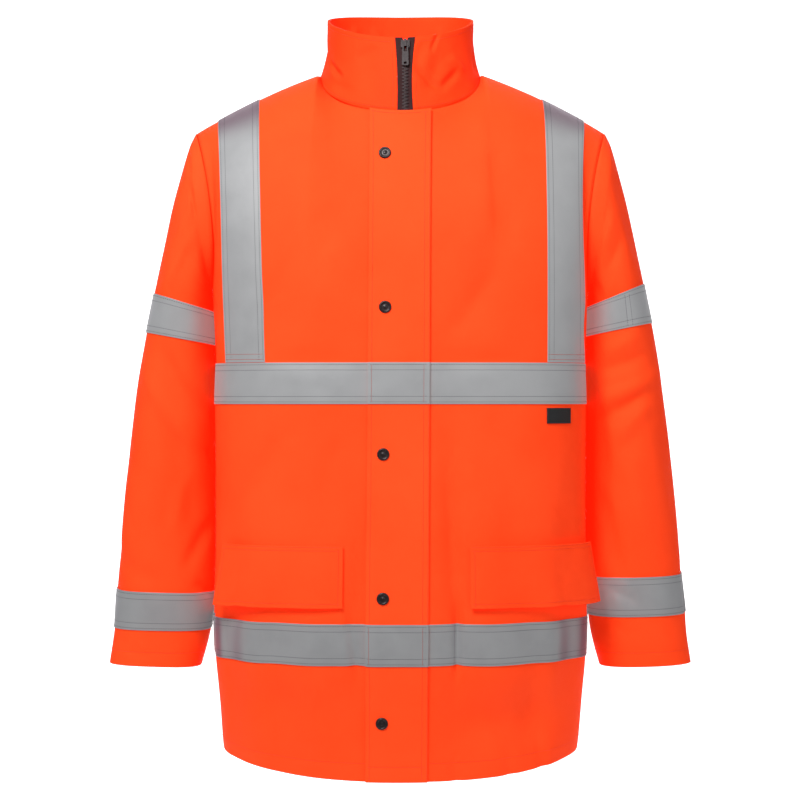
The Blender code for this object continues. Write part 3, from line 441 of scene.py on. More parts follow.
def numbers_over(face, table, first, last, *mesh_lines):
    """Upright threads from one number to another, set a cell apart on the chest."""
    known, lengths = girth_at_chest(face, table)
    start, end = np.interp([first, last], known, lengths)
    return np.interp(start + lines_across(end - start, *mesh_lines), lengths, known)


def cloth_mesh(name, grid, closed=False, thickness=CLOTH, outward=False):
    """Sheet of cloth on a grid of points, with its threads' own measure for the weave."""
    rows, count = grid.shape[:2]
    looped = np.concatenate([grid, grid[:, :1]], axis=1) if closed else grid
    row, over = (part.ravel() for part in np.indices((rows - 1, looped.shape[1] - 1)))
    low, high, after = row * count, (row + 1) * count, (over + 1) % count
    faces = np.stack([low + over, low + after, high + after, high + over], axis=1)
    mesh = bpy.data.meshes.new(name)
    mesh.from_pydata(grid.reshape(-1, 3).tolist(), [], faces.tolist())
    across, up = lengths_along(looped[rows // 2]), lengths_along(grid[:, count // 2])
    corners = np.stack([across[over], up[row], across[over + 1], up[row],
                        across[over + 1], up[row + 1], across[over], up[row + 1]], axis=1)
    layer = mesh.uv_layers.new(name="thread_lines")
    layer.data.foreach_set("uv", corners.ravel().astype(np.float32))
    mesh.shade_smooth()
    piece = put_in_scene(name, mesh)
    solidify = piece.modifiers.new("thickness", "SOLIDIFY")
    solidify.thickness = thickness
    solidify.offset = 1.0 if outward else -1.0
    return piece


def finish_piece(piece, material, nodes):
    piece.data.materials.append(material)
    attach(piece, "jacket")
    if nodes:
        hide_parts(*nodes)


def cloth_piece(node, kind, grid, material, slot, cut, held, rests_on=(), area=None, **form):
    """A sewn sheet of cloth or tape. Its cut to a width and length is not used."""
    piece = cloth_mesh(f"{node}_{kind}", grid, **form)
    finish_piece(piece, material, [node])


def new_group(name, inputs, outputs):
    """Node group with named sockets. Returns it, its inputs as sockets, and its output node."""
    group = bpy.data.node_groups.new(name, "ShaderNodeTree")
    for socket, value in inputs.items():
        kind = "NodeSocketColor" if isinstance(value, tuple) else "NodeSocketFloat"
        made = group.interface.new_socket(socket, in_out="INPUT", socket_type=kind)
        made.default_value = value + (1.0,) if isinstance(value, tuple) else value
    for socket in outputs:
        kind = "NodeSocketColor" if socket == "Color" else "NodeSocketFloat"
        group.interface.new_socket(socket, in_out="OUTPUT", socket_type=kind)
    return group, group.nodes.new("NodeGroupInput").outputs, group.nodes.new("NodeGroupOutput")


def calculated(tree, operation, *values):
    return add_node(tree, "Math", dict(enumerate(values)), operation=operation)[0]


def ranged(tree, value, start, end, low=0.0, high=1.0, **settings):
    """A value that runs from low to high as another runs from start to end."""
    return add_node(tree, "MapRange", {
        "Value": value, "From Min": start, "From Max": end, "To Min": low, "To Max": high},
        **settings)[0]


def mixed(tree, share, low, high):
    return add_node(tree, "Mix", {0: share, 2: low, 3: high})[0]


def mixed_colour(tree, share, low, high):
    return add_node(tree, "Mix", {0: share, 6: low, 7: high}, data_type="RGBA")[2]


def clouds(tree, scale, detail, roughness, distortion=0.0):
    """A cloudy pattern that stays with the piece."""
    spot = add_node(tree, "TexCoord")["Object"]
    return add_node(tree, "TexNoise", {
        "Vector": spot, "Scale": scale, "Detail": detail, "Roughness": roughness,
        "Distortion": distortion})["Fac"]


def bumped(tree, height, distance, strength=1.0, **under):
    return add_node(tree, "Bump", {
        "Height": height, "Strength": strength, "Distance": distance, **under})[0]


def plain_weave_group():
    """Plain weave: each thread dives under the next. Puts out the thread height."""
    group, given, out = new_group("plain_weave", {"Threads per metre": 1400.0}, ["Height"])
    uv = add_node(group, "UVMap", uv_map="thread_lines")[0]
    threads_at = add_node(group, "VectorMath", {
        0: uv, "Scale": given["Threads per metre"]}, operation="SCALE")[0]
    parts = add_node(group, "SeparateXYZ", {0: threads_at})
    waves = []
    for axis in ("X", "Y"):
        wave = calculated(group, "SINE", calculated(group, "MULTIPLY", parts[axis], math.pi))
        waves.append(calculated(group, "ABSOLUTE", wave))
    check = add_node(group, "TexChecker", {
        "Vector": threads_at, "Scale": 1.0, "Color1": WHITE, "Color2": BLACK})["Fac"]
    feed(group, out, {"Height": mixed(group, check, *waves)})
    return group


def cloth_shade_group():
    """Slow and fine changes of shade over dyed cloth, and the soft handling marks in it."""
    group, given, out = new_group("cloth_shade", {
        "Light": WHITE, "Deep": BLACK, "Patch scale": 9.0, "Fleck scale": 900.0,
        "Mark scale": 26.0}, ["Color", "Patches", "Marks"])
    patches = clouds(group, given["Patch scale"], 3.0, 0.55)
    flecks = clouds(group, given["Fleck scale"], 2.0, 0.6)
    share = ranged(group, mixed(group, 0.35, patches, flecks), 0.35, 0.65)
    feed(group, out, {
        "Color": mixed_colour(group, share, given["Deep"], given["Light"]),
        "Patches": patches, "Marks": clouds(group, given["Mark scale"], 4.0, 0.5, 0.6)})
    return group


plain_weave, cloth_shade = plain_weave_group(), cloth_shade_group()


def shaded_material(name, light, deep, scales=None):
    """A material with the cloth's changes of shade. Returns the shade's outputs as well."""
    material, tree, shader = new_material(name)
    shade = add_node(tree, "Group", {"Light": light, "Deep": deep, **(scales or {})},
                     node_tree=cloth_shade)
    feed(tree, shader, {"Base Color": shade["Color"]})
    return material, tree, shader, shade


def cloth_material(name, light, deep, roughness, threads_per_metre, weave_depth, mark_depth,
                   specular=0.5, painted_glow=None):
    """Woven cloth: its shade, its weave, and the faint waves that a stiff cloth keeps."""
    material, tree, shader, shade = shaded_material(name, light, deep)
    weave = add_node(tree, "Group", {"Threads per metre": threads_per_metre},
                     node_tree=plain_weave)
    waves = bumped(tree, shade["Marks"], mark_depth)
    swing = 0.05                   # the roughness runs this far either way
    feed(tree, shader, {
        "Roughness": ranged(tree, shade["Patches"], 0.3, 0.7, roughness - swing,
                            roughness + swing),
        "Normal": bumped(tree, weave["Height"], weave_depth, Normal=waves),
        "Specular IOR Level": specular})
    # An emission colour here is a painted glow: light the cloth gives off itself, which no lamp
    # casts.
    if painted_glow:
        feed(tree, shader, {"Emission Color": painted_glow, "Emission Strength": 1.0})
    return material


def orange_oxford(name, light, deep, mark_depth, painted_glow):
    """Fluorescent cloth, with a painted glow of its own colour."""
    return cloth_material(name, light, deep, 0.72, 1300.0, 0.00010, mark_depth, 0.12, painted_glow)


# The last colour is a painted glow, red-orange light the cloth gives off itself, which keeps it
# red in its shade.
orange_cloth = orange_oxford("fluorescent_orange_oxford", (1.0, 0.090, 0.016),
                             (0.95, 0.072, 0.010), 0.0012, (0.40, 0.009, 0.0010))

SEAM_SINK, SEAM_SINK_REACH = 0.0020, 0.0020     # a seam draws both edges in
SEAM_SINK_FADE = 0.006             # but lies flat at the neck and shoulder points


def sink_edges(grid, lengths_from_edges, closed=False):
    """Draws a panel in beside its seams. Each entry is a distance from a seam at each point."""
    near = sum(np.exp(-(lengths / SEAM_SINK_REACH) ** 2) for lengths in lengths_from_edges)
    return lifted(grid, -(SEAM_SINK * np.clip(near, 0.0, 1.0))[..., None], closed)


def run_from_edge(grid, axis, last):
    """Distance of each point from a grid's first or last line, along the cloth."""
    if last:
        return np.flip(run_from_edge(np.flip(grid, axis), axis, False), axis)
    steps = np.linalg.norm(np.diff(grid, axis=axis), axis=-1)
    return np.concatenate([0 * np.take(steps, [0], axis), np.cumsum(steps, axis)], axis)


RISE_LENGTH, RISE_EDGE_LINES = 0.40, (0.0018, 0.0055)      # from the chest to the top edge
body_rows = np.concatenate([HEM_SIDE + lines_across(CHEST_TOP - HEM_SIDE)[:-1],
                            lines_across(1.0, CELL / RISE_LENGTH, RISE_EDGE_LINES)])


def sink_seams(grid, numbers, side_edges):
    """Draws a panel in at its side and top seams. They lie flat over the last tenth of the
    rise, at the shoulder, and within half a thread of number 5, where the collar starts."""
    flat_at_shoulder = SEAM_SINK_FADE * np.clip((body_rows - 0.90) / 0.10, 0.0, 1.0)[:, None]
    flat_at_neck = SEAM_SINK_FADE * np.exp(-((numbers - 5.0) / 0.5) ** 2)
    return sink_edges(grid, [run_from_edge(grid, 0, True) + flat_at_neck] + [
        run_from_edge(grid, 1, last) + flat_at_shoulder for last in side_edges])


def thread_material(name, light, deep, painted_glow=0.0):
    """Polyester sewing thread, a little glossy, with shade changing along it."""
    material, tree, shader, shade = shaded_material(
        name, light, deep, {"Patch scale": 60.0, "Fleck scale": 1500.0})
    feed(tree, shader, {"Roughness": ranged(tree, shade["Patches"], 0.0, 1.0, 0.4, 0.6)})
    # A glow here is painted light: the thread gives off its own colour.
    if painted_glow:
        feed(tree, shader, {"Emission Color": shade["Color"], "Emission Strength": painted_glow})
    return material


def stitch_line(grid, rows, columns, height, trim, closed=False):
    """A line on a cloth's grid, at places between its lines, with the cloth's normals there
    and the length left free of stitches at its ends."""
    if closed:
        grid, trim = np.concatenate([grid, grid[:, :1]], axis=1), 0.0
    rows, columns = np.broadcast_arrays(np.asarray(rows, float), np.asarray(columns, float))
    r = np.clip(rows.astype(int), 0, grid.shape[0] - 2)
    c = np.clip(columns.astype(int), 0, grid.shape[1] - 2)
    up, over = (rows - r)[:, None], (columns - c)[:, None]
    points, normals = (
        (field[r, c] * (1 - over) + field[r, c + 1] * over) * (1 - up)
        + (field[r + 1, c] * (1 - over) + field[r + 1, c + 1] * over) * up
        for field in (grid, grid_normals(grid)))
    return points + normals * height, normals, trim


def place_in(line, distance):
    """Place between a line's points, at a distance in from its start or, if negative, end."""
    known = lengths_along(line)
    return np.interp(distance if distance >= 0 else known[-1] + distance, known,
                     np.arange(len(known)))


STITCH_TRIM, SHORT_TRIM = 0.002, 0.001     # left free of stitches at a line's ends


def row_stitches(grid, distances, height=0.0, closed=False, trim=STITCH_TRIM):
    """Lines of stitches along a grid's rows, at distances in from its first or last row."""
    along = np.arange(0, grid.shape[1] + closed - 1 + 1e-6, 0.5)
    middle = grid[:, grid.shape[1] // 2]
    return [stitch_line(grid, place_in(middle, distance), along, height, trim, closed)
            for distance in distances]


def column_stitches(grid, distances, height=0.0, trim=STITCH_TRIM):
    along = np.arange(0, grid.shape[0] - 1 + 1e-6, 0.5)
    middle = grid[grid.shape[0] // 2]
    return [stitch_line(grid, along, place_in(middle, distance), height, trim)
            for distance in distances]


def read_line(points, known, lengths):
    return np.stack([np.interp(lengths, known, points[:, axis]) for axis in range(3)], -1)


def blocks(name, corners, faces):
    """One mesh of many like blocks, from each one's corners and the faces of one."""
    corners, faces = np.concatenate(corners), np.array(faces)
    count, size = corners.shape[:2]
    faces = (faces + size * np.arange(count)[:, None, None]).reshape(-1, faces.shape[1])
    mesh = bpy.data.meshes.new(name)
    mesh.from_pydata(corners.reshape(-1, 3).tolist(), [], faces.tolist())
    return put_in_scene(name, mesh)


STITCH_PITCH, STITCH_LENGTH, THREAD_HALF = 0.0030, 0.0024, 0.00032
THREAD_RISE, THREAD_DIP = 0.00030, 0.00012
# corners of a stitch: shares of its half length and half width, and height off the cloth
STITCH_CORNERS = [
    (-1.0, 0, -THREAD_DIP), (-0.55, -1, 0), (-0.55, 1, 0), (-0.45, 0, THREAD_RISE),
    (0.45, 0, THREAD_RISE), (0.55, -1, 0), (0.55, 1, 0), (1.0, 0, -THREAD_DIP)]
STITCH_FACES = [(0, 3, 1), (0, 2, 3), (1, 3, 4), (1, 4, 5), (2, 4, 3), (2, 6, 4),
                (5, 4, 7), (4, 6, 7), (0, 1, 2), (1, 5, 2), (2, 5, 6), (5, 7, 6)]


def sew(name, lines, material, pitch=STITCH_PITCH):
    """One mesh of separate stitches along lines. Each stitch dips into the cloth at its ends."""
    stitches = []
    for points, normals, trim in lines:
        known = lengths_along(points)
        middles = np.arange(trim + pitch / 2, known[-1] - trim - pitch / 2 + 1e-9, pitch)
        at, ahead, behind, out = (
            read_line(field, known, middles + step)
            for field, step in ((points, 0), (points, 1e-4), (points, -1e-4), (normals, 0)))
        along, out = unit(ahead - behind), unit(out)
        beside = np.cross(along, out) * THREAD_HALF
        stitches.append(np.stack([
            at + along * (reach * STITCH_LENGTH / 2) + beside * over + out * rise
            for reach, over, rise in STITCH_CORNERS], axis=1))
    piece = blocks(name, stitches, STITCH_FACES)
    piece.data.shade_smooth()
    finish_piece(piece, material, [])


# The orange thread has a faint painted glow.
orange_thread = thread_material("orange_thread", (0.80, 0.046, 0.008), (0.66, 0.030, 0.005),
                                painted_glow=0.04)
HEM_STITCHES = 0.0190              # up from the hem
FRONT_CUT, FRONT_CUT_AREA = (0.345, 0.880), 0.266
BACK_CUT, BACK_CUT_AREA = (0.655, 0.890), 0.518


def back_points(numbers, rows):
    """Points of the whole back, from the left side seam across to the right one."""
    left = panel_points(1, 1, back_threads, numbers, rows)
    right = panel_points(1, -1, back_threads, numbers, rows)
    right[..., 0] *= -1
    return np.concatenate([left[:, :0:-1], right], axis=1)


hem_lines = []
for side, side_name, table, edge_x in FRONTS:
    numbers = numbers_over(-1, table, *ALL_ROUND)
    front_grid = panel_points(-1, side, table, numbers, body_rows, edge_x)
    front_grid = sides_of(sink_seams(front_grid, numbers, [True]), side)
    cloth_piece(f"front_{side_name}", "cloth", front_grid, orange_cloth, "orange_cloth",
                FRONT_CUT, "hung", ["back"], FRONT_CUT_AREA)
    hem_lines += row_stitches(front_grid, [HEM_STITCHES])

numbers = numbers_over(1, back_threads, *ALL_ROUND)
back_grid = sink_seams(back_points(numbers, body_rows),
                       np.concatenate([numbers[:0:-1], numbers]), [True, False])
cloth_piece("back", "cloth", back_grid, orange_cloth, "orange_cloth", BACK_CUT, "hung",
            area=BACK_CUT_AREA)
hem_lines += row_stitches(back_grid, [HEM_STITCHES])
sew("hem_stitches", hem_lines, orange_thread)

# ---------------------------------------------------------------- chest and waist tapes
# Silver retroreflective tape, 50 mm wide, with a cloth back and a face of tiny glass beads.
# Each tape goes all round the body, is sewn into the side seams, and is held by two rows of
# grey lockstitch along each edge.

TAPE = 0.0008                             # thickness
CHEST_TAPE, WAIST_TAPE = (-0.416, -0.366), (-0.729, -0.679)
TAPE_STITCH_ROWS = (0.0027, -0.0027, 0.0092, -0.0092)      # in from each edge of a tape
TAPE_LIFT = 0.00045                        # from the cloth under it
TAPE_EDGE_LINES = (0.0006,)
TAPE_CELL, TAPE_ROW_CELL = 0.0030, 0.0042


def glass_bead_group():
    """Beads bonded to a silver film: a fine speckle, with faint rubbed patches."""
    group, given, out = new_group("glass_beads", {
        "Bright": WHITE, "Dull": BLACK, "Bead scale": 2600.0}, ["Color", "Beads", "Rubbed"])
    spot = add_node(group, "TexCoord")["Object"]
    beads = add_node(group, "TexVoronoi", {
        "Vector": spot, "Scale": given["Bead scale"]})["Distance"]
    rubbed = clouds(group, 34.0, 4.0, 0.6)
    share = ranged(group, mixed(group, 0.75, beads, rubbed), 0.3, 0.62)
    feed(group, out, {"Color": mixed_colour(group, share, given["Dull"], given["Bright"]),
                      "Beads": beads, "Rubbed": rubbed})
    return group


# The bright and dull colours are the tape's own; the next two are a painted glow, full high up and
# weaker low down.
SILVER_BRIGHT, SILVER_DULL = (0.228, 0.230, 0.234), (0.195, 0.196, 0.200)
SILVER_PAINTED_GLOW_HIGH, SILVER_PAINTED_GLOW_LOW = (0.188, 0.190, 0.194), (0.088, 0.089, 0.092)
# Where the tape turns: a faint painted glow, and a painted pink-grey shade in place of its own
# colour.
SILVER_PAINTED_GLOW_AT_TURNS, SILVER_EDGE_SHADE = (0.024, 0.013, 0.019), (0.160, 0.108, 0.134)
SILVER_PAINTED_GLOW_HEIGHTS = (-0.76, -0.10)    # the painted glow is at its low at the first and full at the second
glass_beads = glass_bead_group()


def silver_material(name, axis, turn, near, far):
    """Beaded tape with a painted glow, weaker low down, and a painted shade where the tape turns:
    within near and far of a turn of the cloth along an axis."""
    material, tree, shader = new_material(name)
    face = add_node(tree, "Group", {"Bright": SILVER_BRIGHT, "Dull": SILVER_DULL},
                    node_tree=glass_beads)
    geometry = add_node(tree, "NewGeometry")
    normal = add_node(tree, "SeparateXYZ", {0: geometry["Normal"]})
    place = add_node(tree, "SeparateXYZ", {0: geometry["Position"]})
    # Painted shade where the tape turns: this share is 0 at a turn and 1 away from it.
    off = calculated(tree, "SUBTRACT", calculated(tree, "ABSOLUTE", normal[axis]), turn)
    painted_lit_share = ranged(tree, calculated(tree, "ABSOLUTE", off), near, far,
                      interpolation_type="SMOOTHSTEP")
    # A painted glow that is weaker low down: painted light falling off downwards.
    height = ranged(tree, place["Z"], *SILVER_PAINTED_GLOW_HEIGHTS)
    painted_glow = mixed_colour(tree, height, SILVER_PAINTED_GLOW_LOW, SILVER_PAINTED_GLOW_HIGH)
    waves = bumped(tree, face["Rubbed"], 0.0007)
    feed(tree, shader, {
        "Base Color": mixed_colour(tree, painted_lit_share, SILVER_EDGE_SHADE, face["Color"]),
        "Emission Color": mixed_colour(tree, painted_lit_share, SILVER_PAINTED_GLOW_AT_TURNS, painted_glow),
        "Roughness": ranged(tree, face["Rubbed"], 0.3, 0.7, 0.42, 0.56),
        "Normal": bumped(tree, face["Beads"], 0.00006, 0.6, Normal=waves),
        "Metallic": 0.10, "Emission Strength": 1.0, "Sheen Weight": 0.12,
        "Sheen Tint": (0.80, 0.74, 0.90)})
    return material


# The first paints shade where the tape faces up or down, as over the shoulders; the second where
# it turns round the body's sides at the waist.
silver_tape = silver_material("retroreflective_tape", "Z", 1.0, 0.20, 0.52)
waist_silver_painted_side_shade = silver_material("retroreflective_tape_painted_shade_at_waist_sides", "Y", 0.42, 0.04, 0.26)
grey_thread = thread_material("grey_thread", (0.110, 0.104, 0.120), (0.075, 0.070, 0.084))
red_thread = thread_material("red_thread", (0.60, 0.070, 0.035), (0.48, 0.05, 0.03))


def tape_piece(node, grid, cut, rests_on, silver=silver_tape, closed=False):
    """A length of the tape on the cloth it is sewn to. Returns its long rows of stitches."""
    cloth_piece(node, "silver", grid, silver, "reflective_tape", cut, "stretched", rests_on,
                thickness=TAPE, outward=True, closed=closed)
    return row_stitches(grid, TAPE_STITCH_ROWS, TAPE, closed)


def tape_rows(low, high):
    return low + lines_across(high - low, TAPE_ROW_CELL, TAPE_EDGE_LINES)


FRONT_TAPE_CUT, BACK_TAPE_CUT = (0.345, 0.050), (0.655, 0.050)
body_tape_lines = []
for level_name, tape_span, silver in (
        ("chest", CHEST_TAPE, silver_tape), ("waist", WAIST_TAPE, waist_silver_painted_side_shade)):
    for side, side_name, table, edge_x in FRONTS:
        numbers = numbers_over(-1, table, *ALL_ROUND, TAPE_CELL, TAPE_EDGE_LINES)
        tape_grid = panel_points(-1, side, table, numbers, tape_rows(*tape_span), edge_x)
        tape_grid = sink_edges(tape_grid, [run_from_edge(tape_grid, 1, True)])
        body_tape_lines += tape_piece(
            f"{level_name}_tape_{side_name}", sides_of(lifted(tape_grid, TAPE_LIFT), side),
            FRONT_TAPE_CUT, [f"front_{side_name}"], silver)
    numbers = numbers_over(1, back_threads, *ALL_ROUND, TAPE_CELL, TAPE_EDGE_LINES)
    tape_grid = back_points(numbers, tape_rows(*tape_span))
    tape_grid = sink_edges(tape_grid, [run_from_edge(tape_grid, 1, last)
                                       for last in (True, False)])
    body_tape_lines += tape_piece(f"{level_name}_tape_back", lifted(tape_grid, TAPE_LIFT),
                                  BACK_TAPE_CUT, ["back"], silver)
sew("body_tape_stitches", body_tape_lines, grey_thread)

# ---------------------------------------------------------------- brace tapes
# Two lengths of the same silver tape run over the shoulders, from the chest tape in front to
# the chest tape behind, sewn down both edges, with a bar of red stitches across each end.

BRACE_NUMBERS, BRACE_START = (7.0, 9.0), 0.001
BRACE_ROW_CELL, BRACE_END_LINES = 0.0115, (0.0016,)
BRACE_CUT = (0.058, 0.770)
BAR_STITCH_ROWS = (0.0035, -0.0035, 0.0098, -0.0098)       # the red bars, at both ends
BAR_STITCH_PITCH = 0.0026

brace_lines, brace_bars = [], []
for side, side_name, table, _ in FRONTS:
    numbers = numbers_over(-1, table, *BRACE_NUMBERS, TAPE_ROW_CELL, TAPE_EDGE_LINES)
    rows = BRACE_START + lines_across(1 - BRACE_START, BRACE_ROW_CELL, BRACE_END_LINES)
    in_front = lifted(panel_points(-1, side, table, numbers, rows), TAPE_LIFT)
    behind = panel_points(1, side, back_threads, numbers, rows)
    behind = lifted(behind[:, ::-1], TAPE_LIFT)[:, ::-1]
    over = (in_front[-1:] + behind[-1:]) / 2
    brace_grid = sides_of(np.concatenate([in_front[:-1], over, behind[-2::-1]]), side)
    tape_piece(f"brace_{side_name}", brace_grid, BRACE_CUT, [f"front_{side_name}", "back"])
    brace_lines += column_stitches(brace_grid, TAPE_STITCH_ROWS, TAPE)
    brace_bars += row_stitches(brace_grid, BAR_STITCH_ROWS, TAPE, trim=SHORT_TRIM)
sew("brace_stitches", brace_lines, grey_thread)
sew("brace_bar_stitches", brace_bars, red_thread, BAR_STITCH_PITCH)

# ---------------------------------------------------------------- collar
# A stand collar of two layers with interlining, sewn round the neckline as one band and open
# at the zip. It leans in towards the throat, and its ends bend where the zip pulls them.

COLLAR_CLOTH = 0.0030
RIM_HALF_WIDTH, RIM_DEPTH = 0.0927, {-1: 0.084, 1: 0.079}
RIM_HEIGHT, RIM_TILT, RIM_BOW = 0.0703, 0.3147, -1.114
SIDE_FLARE = 2.6
ZIP_X, ZIP_GAP_FOOT, ZIP_GAP_RIM = 0.0058, 0.0100, 0.0128
ZIP_WAIST = {-1: 0.0014, 1: 0.0027}      # the collar's edges close in halfway up the zip
COLLAR_ROUND = 0.095               # metres round the collar for each radian
COLLAR_CUT, COLLAR_CUT_AREA = (0.620, 0.125), 0.0470
COLLAR_MESH = (0.022, (0.008, 0.020))      # cell and edge lines, in shares of its height
COLLAR_ROUND_MESH = (1.5, (0.5, 1.2))      # and in degrees round it
COLLAR_ROWS, COLLAR_ENDS, COLLAR_TRIM = (-0.0050, 0.0035), (0.0050, -0.0050), 0.006
FOLDS_AT_FOOT = 0.10               # share of its height over which folds come in
# in millimetres: distance round from the centre front and height of each end, half width,
# depth and bow
COLLAR_FOLDS = [
    (82, -2, 52, -28, 5.5, 5.2, 1), (56, -29, 18, 2, 6, 5, -3), (96, -2, 66, 14, 8, -3.6, 2),
    (48, 44, 39, 18, 3, 3.4, 1), (30, -40, 50, 20, 11, 3.4, 4), (30, 30, 20, 0, 8, 2.6, 2),
    (-114, 12, -82, -10, 4.2, 5.2, 1), (-24, 20, -60, 10, 8, 2, 2),
    (-100, -12, -60, -30, 7, 1.8, 2), (-30, -45, -44, 30, 12, 1.6, -3),
    (150, 50, 130, 0, 8, 3, 3), (-160, 45, -135, 5, 8, 3.2, -3), (200, 66, 222, 30, 6, 3.6, 3),
    (240, 72, 246, 35, 7, 2.8, -2), (-235, 70, -218, 30, 6, 3.4, -3),
    (-262, 74, -268, 40, 7, 2.6, 2),
]


def collar_half_width(share):
    return NECK_HALF_WIDTH + (RIM_HALF_WIDTH - NECK_HALF_WIDTH) * share


def collar_points(angle, share):
    """Points of the collar at angles from the centre front and shares of its height."""
    front = np.cos(angle) > 0
    along = np.abs(np.cos(angle))
    foot_y = np.where(front, -NECK[-1][0], NECK[1][0]) * along
    foot_z = np.where(front, NECK[-1][1], NECK[1][1]) * along ** NECK_CURVE
    rim_y = -np.where(front, RIM_DEPTH[-1], RIM_DEPTH[1]) * np.cos(angle)
    rim_z = RIM_HEIGHT + RIM_TILT * rim_y + RIM_BOW * rim_y ** 2
    rim_x = RIM_HALF_WIDTH * np.sin(angle)
    flare = (1 - share) ** (1 + SIDE_FLARE * np.sin(angle) ** 2)
    x = rim_x + (NECK_HALF_WIDTH * np.sin(angle) - rim_x) * flare
    y = rim_y + (foot_y - rim_y) * flare
    z = foot_z + SEAM_GAP + (rim_z - foot_z - SEAM_GAP) * share
    return np.stack([x, y, z], axis=-1)


def zip_waist(side, share):
    return side * ZIP_WAIST[side] * np.sin(math.pi * share)


def collar_edge_angle(side, share):
    """Angle of the collar's front edge at each share of its height."""
    gap = ZIP_GAP_FOOT + (ZIP_GAP_RIM - ZIP_GAP_FOOT) * share
    edge = ZIP_X + side * gap - zip_waist(side, share)
    return np.arcsin(edge / collar_half_width(share))


collar_share = lines_across(1.0, *COLLAR_MESH)
round_share = lines_across(360.0, *COLLAR_ROUND_MESH) / 360
start, end = collar_edge_angle(1, collar_share), 2 * math.pi + collar_edge_angle(-1, collar_share)
collar_grid = collar_points(start[:, None] + (end - start)[:, None] * round_share,
                            collar_share[:, None])
collar_angle = start.mean() + (end - start).mean() * round_share
collar_angle = np.where(collar_angle > math.pi, collar_angle - 2 * math.pi, collar_angle)
collar_grid = pressed(collar_grid, COLLAR_FOLDS, COLLAR_ROUND * collar_angle,
                      np.clip(collar_share / FOLDS_AT_FOOT, 0.0, 1.0)[:, None])
flat_at_neck = SEAM_SINK_FADE * np.sin(collar_angle) ** 6
collar_grid = sink_edges(collar_grid, [run_from_edge(collar_grid, 0, False) + flat_at_neck])
# The collar is the body's cloth with a deeper orange: painted shade. Its last colour is a painted
# glow.
collar_cloth_painted_darker = orange_oxford("interlined_collar_oxford_painted_darker", (1.0, 0.070, 0.010),
                             (0.95, 0.054, 0.006), 0.0016, (0.40, 0.006, 0.0006))
cloth_piece("collar", "cloth", collar_grid, collar_cloth_painted_darker, "orange_cloth", COLLAR_CUT, "hung",
            ["back"], COLLAR_CUT_AREA, thickness=COLLAR_CLOTH)
sew("collar_stitches",
    row_stitches(collar_grid, COLLAR_ROWS, trim=COLLAR_TRIM)
    + column_stitches(collar_grid, COLLAR_ENDS, trim=COLLAR_TRIM),
    orange_thread)

# ---------------------------------------------------------------- zip
# A chunky moulded resin zip with dark woven tapes, sewn behind the fronts' edges and on up
# the collar. Only its upper end shows. Its teeth part above the slider.

ZIP_TAPE, ZIP_TAPE_DEPTH, ZIP_MIDDLE_DEPTH = 0.0008, 0.0005, 0.0009
ZIP_TAPE_INNER = 0.0006            # the tapes' corded edges nearly meet behind the teeth
ZIP_TAPE_THREADS = (0.0, 0.12, 0.5, 0.88, 1.0)      # shares of the way across a tape
CHAIN_HALF_WIDTH = 0.0031
SLIDER_SHARE, SLIDER_LENGTH, SLIDER_ROOM = 0.905, 0.0100, 0.0004
ZIP_SPARE, CHAIN_END = 0.004, 0.0025       # below the rim: no whole pitch fits, and no tooth
ZIP_CUT, ZIP_CUT_AREA = (0.0100, 0.880), 0.0083
TOOTH_PITCH, TOOTH_REACH, TOOTH_HEIGHT, TOOTH_DEPTH = 0.0044, 0.0046, 0.0024, 0.0030
PARTING, PARTING_CURVE = 0.0030, 0.8       # how far the teeth stand off above the slider

zip_cloth = cloth_material("woven_zip_tape", (0.062, 0.028, 0.028), (0.040, 0.017, 0.018),
                           0.8, 1100.0, 0.00012, 0.0004, specular=0.1)
ZIP_CELL, ZIP_RISE_MESH, ZIP_COLLAR_MESH = 0.006, (0.015, (0.0018,)), (0.05, (0.010,))
zip_rows = np.concatenate([HEM_START + lines_across(CHEST_TOP - HEM_START, ZIP_CELL),
                           lines_across(1.0, *ZIP_RISE_MESH)[1:-1]])
zip_shares = lines_across(1.0, *ZIP_COLLAR_MESH)


def strip_points(xs, rows):
    """Points of the front at set distances from the centre, the same all the way up."""
    place = np.arcsin(np.abs(xs) / NECK_HALF_WIDTH) / (math.pi / 2)
    grid = body_points(-1, np.abs(xs), place, 0 * xs, rows)
    grid[..., 0] = xs
    return pressed(grid, BODY_FOLDS, grid[..., 0])


def zip_strip(*lines):
    """Grid up the centre front between lines. A line has its distance across on the body and
    at the collar's rim, and the side of the collar's edge that it closes in with, or 0."""
    columns = []
    for foot_x, rim_x, waist_side in lines:
        x = foot_x + (rim_x - foot_x) * zip_shares
        if waist_side:
            x = x - zip_waist(waist_side, zip_shares)
        points = collar_points(np.arcsin(np.abs(x) / collar_half_width(zip_shares)), zip_shares)
        points[:, 0] = x
        columns.append(points)
    body = strip_points(np.array([line[0] for line in lines]), zip_rows)
    return np.concatenate([body, np.stack(columns, axis=1)])


zip_line = lifted(zip_strip(*((x, x, 0) for x in (ZIP_X - 0.001, ZIP_X + 0.001))),
                  -ZIP_MIDDLE_DEPTH)
zip_out, zip_middle = grid_normals(zip_line).mean(axis=1), zip_line.mean(axis=1)
zip_lengths = lengths_along(zip_middle)
zip_end = zip_lengths[-1]
slider_at = zip_end - (1 - SLIDER_SHARE) * (zip_end - zip_lengths[-len(zip_shares)])


def parted(length):
    """How far a row of teeth stands off the middle at a length up the zip."""
    above = np.clip((length - slider_at) / (zip_end - slider_at), 0.0, 1.0)
    return PARTING * above ** PARTING_CURVE


